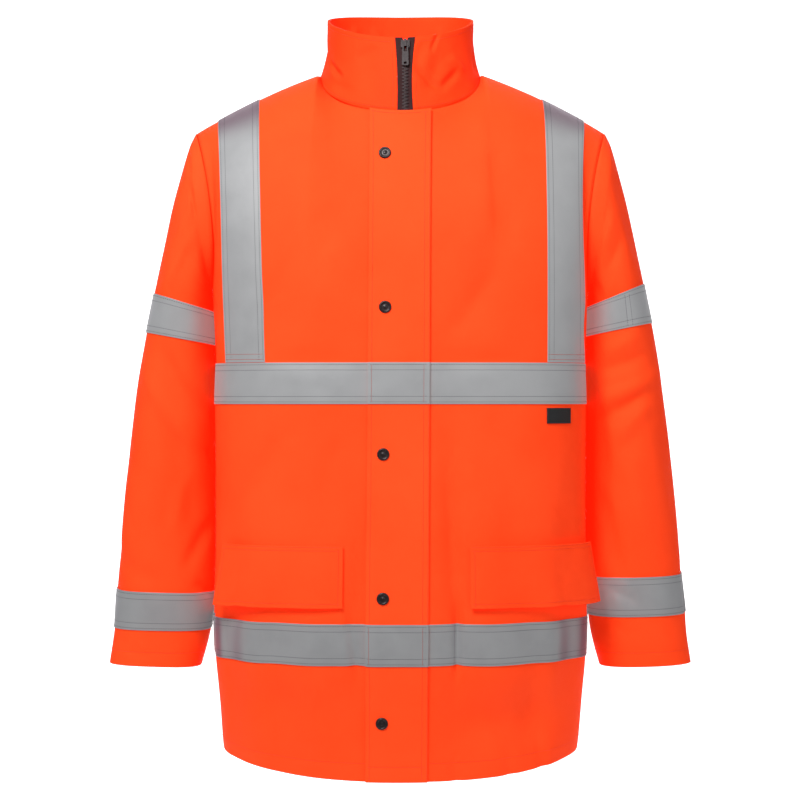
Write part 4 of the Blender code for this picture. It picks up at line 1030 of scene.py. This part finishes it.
for side, side_name in ((-1, "right"), (1, "left")):
    inner, foot, rim = (ZIP_X + side * reach for reach in (
        ZIP_TAPE_INNER, ZIP_GAP_FOOT - SEAM_GAP, ZIP_GAP_RIM - SEAM_GAP))
    edges = zip_strip(*[(inner, inner, 0), (foot, rim, side)][::side])
    edges[:, 0 if side > 0 else 1, 0] += side * parted(zip_lengths)
    zip_grid = np.stack([edges[:, 0] + (edges[:, 1] - edges[:, 0]) * share
                         for share in ZIP_TAPE_THREADS], axis=1)
    cloth_piece(f"zip_tape_{side_name}", "woven", lifted(zip_grid, -ZIP_TAPE_DEPTH), zip_cloth,
                "zip_tape", ZIP_CUT, "stretched", [f"front_{side_name}", "collar"],
                ZIP_CUT_AREA, thickness=ZIP_TAPE)

zip_resin, resin_tree, resin_shader, resin_shade = shaded_material(
    "moulded_zip_resin", (0.052, 0.029, 0.030), (0.028, 0.015, 0.016),
    {"Patch scale": 40.0, "Fleck scale": 700.0, "Mark scale": 400.0})
feed(resin_tree, resin_shader, {
    "Roughness": ranged(resin_tree, resin_shade["Marks"], 0.0, 1.0, 0.46, 0.66),
    "Specular IOR Level": 0.25})

# A tooth is a waisted block of four rings, from its root out: share of its reach, how far it
# stands up and down as a share of its height, and share of its depth. Each has four corners.
TOOTH_RINGS = [(-0.15, 0.34, 0.86), (0.30, 0.46, 1.0), (0.62, 0.30, 1.0), (1.0, 0.50, 0.86)]
TOOTH_CORNERS = [(0.5, -1), (0.5, 1), (-0.5, 1), (-0.5, -1)]
TOOTH_FACES = [(ring + k, ring + (k + 1) % 4, ring + 4 + (k + 1) % 4, ring + 4 + k)
               for ring in (0, 4, 8) for k in range(4)] + [(3, 2, 1, 0), (12, 13, 14, 15)]
tooth_count = int((zip_end - ZIP_SPARE) / TOOTH_PITCH)
teeth_rows = []
for side, first_tooth in ((-1, 1.0), (1, 0.5)):
    middles = (np.arange(tooth_count) + first_tooth) * TOOTH_PITCH
    in_slider = np.abs(middles - slider_at) < SLIDER_LENGTH / 2 + SLIDER_ROOM
    middles = middles[~in_slider & (middles < zip_end - CHAIN_END)]
    at, ahead, out = (
        read_line(field, zip_lengths, middles + step)
        for field, step in ((zip_middle, 0), (zip_middle, 1e-3), (zip_out, 0)))
    along, root = unit(ahead - at), side * (CHAIN_HALF_WIDTH + parted(middles))
    teeth_rows.append(np.stack([
        at + (root - side * reach * TOOTH_REACH)[:, None] * np.array((1, 0, 0))
        + out * (depth * TOOTH_DEPTH * squeeze) + along * (rise * waist * TOOTH_HEIGHT)
        for reach, waist, squeeze in TOOTH_RINGS
        for depth, rise in TOOTH_CORNERS[::-side]], axis=1))
finish_piece(blocks("zip_teeth_row", teeth_rows, TOOTH_FACES), zip_resin,
             ["zip_teeth"])

# ---------------------------------------------------------------- slider and pull tab
# A die-cast slider with a bridge, and a flat pull tab that swings on the bridge. Both are
# plated a dark gunmetal, cloudy and a little uneven in its gloss.

gunmetal, metal_tree, metal_shader, metal_shade = shaded_material(
    "gunmetal_plate", (0.034, 0.022, 0.024), (0.016, 0.011, 0.012),
    {"Patch scale": 180.0, "Fleck scale": 2500.0, "Mark scale": 500.0})
feed(metal_tree, metal_shader, {
    "Roughness": ranged(metal_tree, metal_shade["Marks"], 0.0, 1.0, 0.24, 0.50),
    "Normal": bumped(metal_tree, metal_shade["Marks"], 0.00005, 0.5), "Metallic": 0.35})
for part_name in ("zip_slider", "zip_pull"):
    for part_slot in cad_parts[part_name].material_slots:
        part_slot.material = gunmetal

# ---------------------------------------------------------------- storm flap
# Two layers of the orange cloth, turned and topstitched. The flap is sewn down along the
# wearer's left of the zip and covers it. The silver tapes carry on across it.

FLAP_CLOTH, FLAP_LIFT = 0.0020, 0.0015
FLAP_X = (-0.0385, 0.0355)
FLAP_SLANT = (-0.0034, 0.0015)     # how far the flap stands over at the hem and at the neck
FLAP_TOP = 0.99913
FLAP_CUT, FLAP_TAPE_CUT = (0.074, 0.850), (0.074, 0.050)
FLAP_SIDE_STITCHES, FLAP_TOP_STITCHES = (0.0045, -0.0070), -0.0040
EDGE_STITCHES = -0.0012            # a row right along a flap's last edge
FLAP_MESH, FLAP_RISE_LENGTH, FLAP_RISE_LINES = (
    (0.0037, (0.0007, 0.0022, 0.0042)), 0.33, (0.002, 0.006))


def flap_points(xs, rows, lift):
    grid = strip_points(xs, rows)
    up = np.clip((grid[..., 2] - HEM_SIDE) / (NECK[-1][1] - HEM_SIDE), 0.0, 1.0)
    grid[..., 0] += FLAP_SLANT[0] + (FLAP_SLANT[1] - FLAP_SLANT[0]) * up
    return lifted(grid, lift)


flap_xs = FLAP_X[0] + lines_across(FLAP_X[1] - FLAP_X[0], *FLAP_MESH)
flap_rows = np.concatenate([HEM_SIDE + lines_across(CHEST_TOP - HEM_SIDE)[:-1],
                            lines_across(FLAP_TOP, CELL / FLAP_RISE_LENGTH, FLAP_RISE_LINES)])
flap_grid = flap_points(flap_xs, flap_rows, FLAP_LIFT)
# The flap's last colour is a painted glow, as on the body's cloth.
flap_cloth = orange_oxford("doubled_flap_oxford", (1.0, 0.096, 0.018), (0.96, 0.080, 0.012),
                           0.0010, (0.40, 0.010, 0.0012))
cloth_piece("storm_flap", "cloth", flap_grid, flap_cloth, "orange_cloth", FLAP_CUT,
            "hung", ["front_left"], thickness=FLAP_CLOTH, outward=True)
sew("storm_flap_stitches",
    column_stitches(flap_grid, [*FLAP_SIDE_STITCHES, EDGE_STITCHES], FLAP_CLOTH)
    + row_stitches(flap_grid, [HEM_STITCHES, FLAP_TOP_STITCHES], FLAP_CLOTH), orange_thread)

flap_tape_lines, flap_tape_marks = [], []
for level_name, tape_span in (("chest", CHEST_TAPE), ("waist", WAIST_TAPE)):
    tape_grid = flap_points(flap_xs, tape_rows(*tape_span), FLAP_LIFT + FLAP_CLOTH + TAPE_LIFT)
    flap_tape_lines += tape_piece(f"{level_name}_tape_flap", tape_grid, FLAP_TAPE_CUT,
                                  ["storm_flap"])
    flap_tape_marks += column_stitches(tape_grid, FLAP_SIDE_STITCHES, TAPE)
sew("flap_tape_stitches", flap_tape_lines, grey_thread)
sew("flap_tape_edge_stitches", flap_tape_marks, red_thread)

# ---------------------------------------------------------------- snap buttons
# Five pressed caps, 15 mm across, with a ring and a small boss, riveted through the storm
# flap. They are plated gunmetal like the slider.

SNAP_PROFILE = [(0.0, 0.00185), (0.0010, 0.00180), (0.0018, 0.00150), (0.0024, 0.00120),
                (0.0046, 0.00115), (0.0050, 0.00135), (0.0054, 0.00190), (0.0060, 0.00205),
                (0.0066, 0.00190), (0.0072, 0.00140), (0.0075, 0.00080), (0.0075, 0.00020),
                (0.0070, 0.0)]
SNAP_SPOKES = 40
SNAP_LIFT, SNAP_REACH = 0.0002, np.array([-0.002, 0.0, 0.002])
SNAP_CELL, SNAP_RISE_CELL = 0.002, 0.005       # the flap is read this finely to seat them
snap_rows = np.concatenate([HEM_SIDE + lines_across(CHEST_TOP - HEM_SIDE, SNAP_CELL)[:-1],
                            lines_across(FLAP_TOP, SNAP_RISE_CELL)])

for snap_number in range(1, 6):
    low_corner, high_corner = (np.array(corner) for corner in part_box(f"snap_{snap_number}"))
    centre = (low_corner + high_corner) / 2
    near = flap_points(centre[0] + SNAP_REACH, snap_rows, 0.0)
    row = int(np.argmin(np.abs(near[:, 1, 2] - centre[2])))
    facing = Vector(grid_normals(near)[row, 1])
    seat = Vector(near[row, 1]) + facing * (FLAP_LIFT + FLAP_CLOTH + SNAP_LIFT)
    seat.x, seat.z = centre[0], centre[2]
    snap_mesh = bpy.data.meshes.new(f"snap_cap_{snap_number}")
    bm = bmesh.new()
    outline = [bm.verts.new((radius, 0.0, height)) for radius, height in SNAP_PROFILE]
    outline_edges = [bm.edges.new(pair) for pair in zip(outline, outline[1:])]
    bmesh.ops.spin(bm, geom=outline + outline_edges, cent=(0, 0, 0), axis=(0, 0, 1),
                   dvec=(0, 0, 0), angle=2 * math.pi, steps=SNAP_SPOKES, use_merge=True)
    bmesh.ops.remove_doubles(bm, verts=bm.verts, dist=1e-6)
    bmesh.ops.recalc_face_normals(bm, faces=bm.faces)
    bm.to_mesh(snap_mesh)
    bm.free()
    snap_mesh.shade_smooth()
    snap = put_in_scene(f"snap_cap_{snap_number}", snap_mesh, seat)
    snap.rotation_euler = facing.to_track_quat("Z", "Y").to_euler()
    finish_piece(snap, gunmetal, [f"snap_{snap_number}"])

# ---------------------------------------------------------------- pocket flaps
# Two flaps of doubled orange cloth over the lower pockets, sewn along their upper edge and
# topstitched. Their outer corners stand away from the body.

POCKET_FLAP_LOW, POCKET_FLAP_HIGH = -0.660, -0.586
POCKET_FLAP_INNER, POCKET_FLAP_OUTER = {-1: 0.0685, 1: 0.0834}, 9.0
POCKET_FLAP_STAND, POCKET_FLAP_TIP_LIFT, POCKET_FLAP_TOP_SHARE = 0.0020, 0.014, 0.25
POCKET_FLAP_WAVE, WAVE_TURN, WAVE_START = 0.0012, 9.0, 1.3     # its loose edge waves a little
POCKET_FLAP_CUT = {-1: (0.174, 0.075), 1: (0.200, 0.075)}
POCKET_FLAP_STITCHES = (0.0055, -0.0055)
POCKET_FLAP_MESH = (0.0042, (0.0007, 0.0020, 0.0040))
known_numbers = np.linspace(0.0, POCKET_FLAP_OUTER, 181)

pocket_lines = []
for side, side_name, table, _ in FRONTS:
    inner = np.interp(POCKET_FLAP_INNER[side], threads(table, known_numbers)[0], known_numbers)
    numbers = numbers_over(-1, table, inner, POCKET_FLAP_OUTER, *POCKET_FLAP_MESH)
    drop = POCKET_FLAP_HIGH - POCKET_FLAP_LOW
    rows = POCKET_FLAP_LOW + lines_across(drop, *POCKET_FLAP_MESH)
    along = (numbers - inner) / (POCKET_FLAP_OUTER - inner)
    down = ((POCKET_FLAP_HIGH - rows) / drop)[:, None]
    lift = POCKET_FLAP_STAND + POCKET_FLAP_TIP_LIFT * along ** 3 * (
        POCKET_FLAP_TOP_SHARE + (1 - POCKET_FLAP_TOP_SHARE) * down)
    lift = lift + POCKET_FLAP_WAVE * down * (1 + np.sin(along * WAVE_TURN + WAVE_START * side))
    pocket_grid = lifted(panel_points(-1, side, table, numbers, rows), lift[..., None])
    pocket_grid = sides_of(pocket_grid, side)
    cloth_piece(f"pocket_flap_{side_name}", "cloth", pocket_grid, orange_cloth, "orange_cloth",
                POCKET_FLAP_CUT[side], "hung", [f"front_{side_name}"], thickness=FLAP_CLOTH,
                outward=True)
    pocket_lines += row_stitches(pocket_grid, [*POCKET_FLAP_STITCHES, EDGE_STITCHES], FLAP_CLOTH)
    pocket_lines += column_stitches(pocket_grid, POCKET_FLAP_STITCHES, FLAP_CLOTH)
sew("pocket_flap_stitches", pocket_lines, orange_thread)

# ---------------------------------------------------------------- label
# A small black woven label, left plain, stitched just under the chest tape on the wearer's
# left.

LABEL_X, LABEL_LOW, LABEL_HIGH = (0.176, 0.206), -0.4395, -0.4206
LABEL_CUT, LABEL_LIFT, LABEL_MESH = (0.038, 0.019), 0.0006, (0.003, (0.0005,))
LABEL_STITCHES, LABEL_STITCH_PITCH = (0.0012, -0.0012), 0.0024
black_cloth = cloth_material("black_woven_label", (0.020, 0.020, 0.022),
                             (0.010, 0.010, 0.011), 0.7, 2200.0, 0.00008, 0.0002)
black_thread = thread_material("black_thread", (0.05, 0.05, 0.055), (0.03, 0.03, 0.03))
label_numbers = np.interp(LABEL_X, threads(left_threads, known_numbers)[0], known_numbers)
label_numbers = numbers_over(-1, left_threads, *label_numbers, *LABEL_MESH)
label_rows = LABEL_LOW + lines_across(LABEL_HIGH - LABEL_LOW, *LABEL_MESH)
label_grid = lifted(panel_points(-1, 1, left_threads, label_numbers, label_rows), LABEL_LIFT)
cloth_piece("label", "woven", label_grid, black_cloth, "black_label", LABEL_CUT,
            "stretched", ["front_left"], thickness=TAPE, outward=True)
sew("label_stitches",
    row_stitches(label_grid, LABEL_STITCHES, TAPE, trim=SHORT_TRIM)
    + column_stitches(label_grid, LABEL_STITCHES, TAPE, trim=SHORT_TRIM),
    black_thread, LABEL_STITCH_PITCH)

# ---------------------------------------------------------------- sleeves
# One-piece sleeves set into the armholes and hanging straight, slightly bent at the elbow,
# with a turned hem at the cuff. Two silver tapes go round each.

# height, distance out, distance of the inner side, its height, half depth, depth of the
# middle: ovals across the arm, from the cuff up to the armhole
SLEEVE_RINGS = np.array([
    (-0.7430, 0.3692, 0.2535, -0.7470, 0.0520, 0.010),
    (-0.7158, 0.3653, 0.2460, -0.7190, 0.0575, 0.014),
    (-0.6955, 0.3628, 0.2418, -0.6975, 0.0610, 0.017),
    (-0.6548, 0.3592, 0.2380, -0.6580, 0.0680, 0.021),
    (-0.6142, 0.3572, 0.2362, -0.6170, 0.0745, 0.025),
    (-0.5329, 0.3502, 0.2350, -0.5380, 0.0845, 0.029),
    (-0.4516, 0.3412, 0.2347, -0.4600, 0.0920, 0.029),
    (-0.3860, 0.3327, 0.2348, -0.3980, 0.0955, 0.026),
    (-0.3260, 0.3214, 0.2353, -0.3420, 0.0965, 0.020),
    (-0.2768, 0.3106, 0.2365, -0.3000, 0.0960, 0.014),
    (-0.2484, 0.3042, 0.2370, -0.2900, 0.0950, 0.010),
    (-0.2078, 0.2950, 0.2373, -0.2835, 0.0930, 0.007),
    (-0.1672, 0.2858, 0.2374, -0.2805, 0.0915, 0.004),
    (-0.1265, 0.2754, 0.2374, -0.2785, 0.0900, 0.002),
    (-0.0995, 0.2682, 0.2373, -0.2770, 0.0888, 0.001),
    (-0.0855, 0.2636, 0.2372, -0.2760, 0.0882, 0.000),
    (-0.0740, 0.2586, 0.2366, -0.2752, 0.0880, 0.000),
])
SLEEVE_ROUNDNESS = {-1: 2.8, 1: 2.3}             # below the head, which is as the armhole
SLEEVE_ROUND = 0.075                             # metres for each radian
ARMHOLE_STATION, HOLLOW_START = -0.0740, -0.0855 # the sleeve's head follows the hollow armhole
ROUNDNESS_SPREAD = 0.08                          # below the armhole, where it is in full
INNER_SEAM_SHARE = 0.10                          # of the way round, where folds die away
HEAD_FOLDS_TOP, HEAD_FOLDS_FULL = -0.080, 0.024  # no folds above this, full this far below
SLEEVE_TAPES = {-1: ((-0.3260, -0.2768), (-0.6985, -0.6500)),
                1: ((-0.3138, -0.2642), (-0.6810, -0.6310))}
SLEEVE_CUT, SLEEVE_CUT_AREA = (0.460, 0.690), 0.262
SLEEVE_TAPE_CUT = {"upper": (0.430, 0.050), "lower": (0.420, 0.050)}
TAPE_OVERLAP = (0.118, 0.124)      # round from the inner side, where one tape's ends overlap
CUFF_STITCHES = 0.0180

# In millimetres: distance round from the outer side, forward positive, and height of each end,
# half width, depth and bow. The inner side is 235 mm round either way.
SLEEVE_FOLDS = {-1: [
    (90, -342, 192, -434, 12, 5.2, 6), (60, -372, 165, -468, 13, -4.2, 4),
    (200, -350, 205, -450, 9, 4.5, 3), (110, -440, 175, -600, 18, 5.2, -8),
    (60, -480, 55, -620, 22, -4, 6), (155, -500, 130, -590, 12, -3, 4),
    (185, -470, 205, -500, 7, 3.6, 1), (200, -560, 150, -625, 12, 5, 3),
    (205, -660, 165, -640, 8, 3.6, 0), (30, -600, 120, -640, 14, 3, 5),
    (45, -98, 78, -132, 4.8, 5, 1), (88, -150, 118, -186, 4.8, 5, 0),
    (165, -110, 150, -190, 8, 3.4, 3), (100, -120, 60, -225, 18, 3.4, 6),
    (130, -200, 70, -285, 14, -2.8, 4), (40, -700, 110, -735, 8, 1.6, 2),
    (-80, -430, -150, -520, 18, 6, 6), (-160, -360, -90, -400, 13, 4.8, -5),
    (-130, -540, -180, -640, 16, 5.4, 6), (-60, -250, -120, -330, 18, 3.9, 4),
    (15, -330, -20, -520, 26, 3.6, 8), (-20, -560, 20, -690, 20, -3.3, 6),
], 1: [
    (93, -178, 150, -227, 10, -3.4, 2), (80, -205, 165, -262, 10, 3.4, 2),
    (89, -331, 166, -350, 10, -3.4, 2), (70, -352, 180, -374, 9, 3.6, 3),
    (40, -374, 174, -411, 12, -4.6, 3), (70, -394, 190, -438, 10, 4.4, 3),
    (83, -411, 150, -460, 12, -4.2, 3), (205, -370, 165, -520, 16, 5.6, 8),
    (120, -470, 100, -580, 20, -4.2, -6), (180, -520, 150, -640, 15, 5.4, 6),
    (70, -440, 40, -560, 22, 3.6, 8), (170, -645, 120, -665, 9, 3.6, 2),
    (200, -690, 140, -700, 8, 2.2, 2), (15, -625, 22, -720, 9, 4.5, 1),
    (160, -110, 155, -160, 8, 3, 3), (190, -160, 190, -240, 8, 3, -2),
    (60, -130, 50, -240, 18, 2.8, -6), (210, -250, 160, -290, 10, 2.8, 3),
    (-85, -440, -150, -540, 18, 6, -6), (-160, -350, -85, -390, 13, 4.8, 5),
    (-120, -560, -180, -650, 16, 5.1, -6), (-70, -260, -125, -340, 18, 3.9, 4),
    (10, -350, -25, -540, 26, 3.3, -8), (-30, -580, 10, -700, 20, -3, 6),
]}


def sleeve_points(side, angles, stations):
    """Points of a sleeve. An angle is 0 at the outer side, and the front is positive."""
    rings = read_table(SLEEVE_RINGS, stations)
    outer_z, outer_x, inner_x, inner_z, half_depth, middle_y = (rings[:, k:k + 1]
                                                                for k in range(6))
    stations = stations[:, None]
    below = np.clip((ARMHOLE_STATION - stations) / ROUNDNESS_SPREAD, 0.0, 1.0)
    roundness = ARMHOLE_ROUNDNESS + (SLEEVE_ROUNDNESS[side] - ARMHOLE_ROUNDNESS) * below
    across, along = oval(angles, roundness)
    to_seam = np.clip((stations - HOLLOW_START) / (ARMHOLE_STATION - HOLLOW_START), 0.0, 1.0)
    hollow = ARMHOLE_HOLLOW * across ** 2 * to_seam
    grid = np.stack([(outer_x + inner_x) / 2 + (outer_x - inner_x) / 2 * along - hollow,
                     middle_y - half_depth * across,
                     (outer_z + inner_z) / 2 + (outer_z - inner_z) / 2 * along], axis=-1)
    hold = np.clip((HEAD_FOLDS_TOP - stations) / HEAD_FOLDS_FULL, 0.0, 1.0)
    inner_hold = np.clip((1 - np.abs(angles) / math.pi) / INNER_SEAM_SHARE, 0.0, 1.0)
    return pressed(grid, SLEEVE_FOLDS[side], SLEEVE_ROUND * angles, hold * inner_hold,
                   loop=SLEEVE_ROUND * 2 * math.pi)


sleeve_tape_lines, cuff_lines = [], []
sleeve_angles = math.pi - np.linspace(0.0, 2 * math.pi, 145)[:-1]
stations = SLEEVE_RINGS[0, 0] + lines_across(ARMHOLE_STATION - SLEEVE_RINGS[0, 0])
flat_at_shoulder = SEAM_SINK_FADE * np.clip(np.cos(sleeve_angles), 0.0, 1.0) ** 4
for side, side_name in ((-1, "right"), (1, "left")):
    sleeve_grid = sleeve_points(side, sleeve_angles, stations)
    sleeve_grid = sink_edges(
        sleeve_grid, [run_from_edge(sleeve_grid, 0, True) + flat_at_shoulder], closed=True)
    sleeve_grid = sides_of(sleeve_grid, side)
    cloth_piece(f"sleeve_{side_name}", "cloth", sleeve_grid, orange_cloth, "orange_cloth",
                SLEEVE_CUT, "hung", [f"front_{side_name}", "back"], SLEEVE_CUT_AREA,
                closed=True)
    cuff_lines += row_stitches(sleeve_grid, [CUFF_STITCHES], closed=True)
    for tape_span, tape_name in zip(SLEEVE_TAPES[side], ("upper", "lower")):
        tape_grid = lifted(sleeve_points(side, sleeve_angles, tape_rows(*tape_span)),
                           TAPE_LIFT, True)
        tape_grid = sides_of(tape_grid, side)
        sleeve_tape_lines += tape_piece(
            f"sleeve_tape_{side_name}_{tape_name}", tape_grid, SLEEVE_TAPE_CUT[tape_name],
            [f"sleeve_{side_name}"], closed=True)
        if (side_name, tape_name) == ("left", "upper"):
            sleeve_tape_lines += column_stitches(tape_grid, TAPE_OVERLAP, TAPE)
sew("sleeve_tape_stitches", sleeve_tape_lines, grey_thread)
sew("cuff_stitches", cuff_lines, orange_thread)
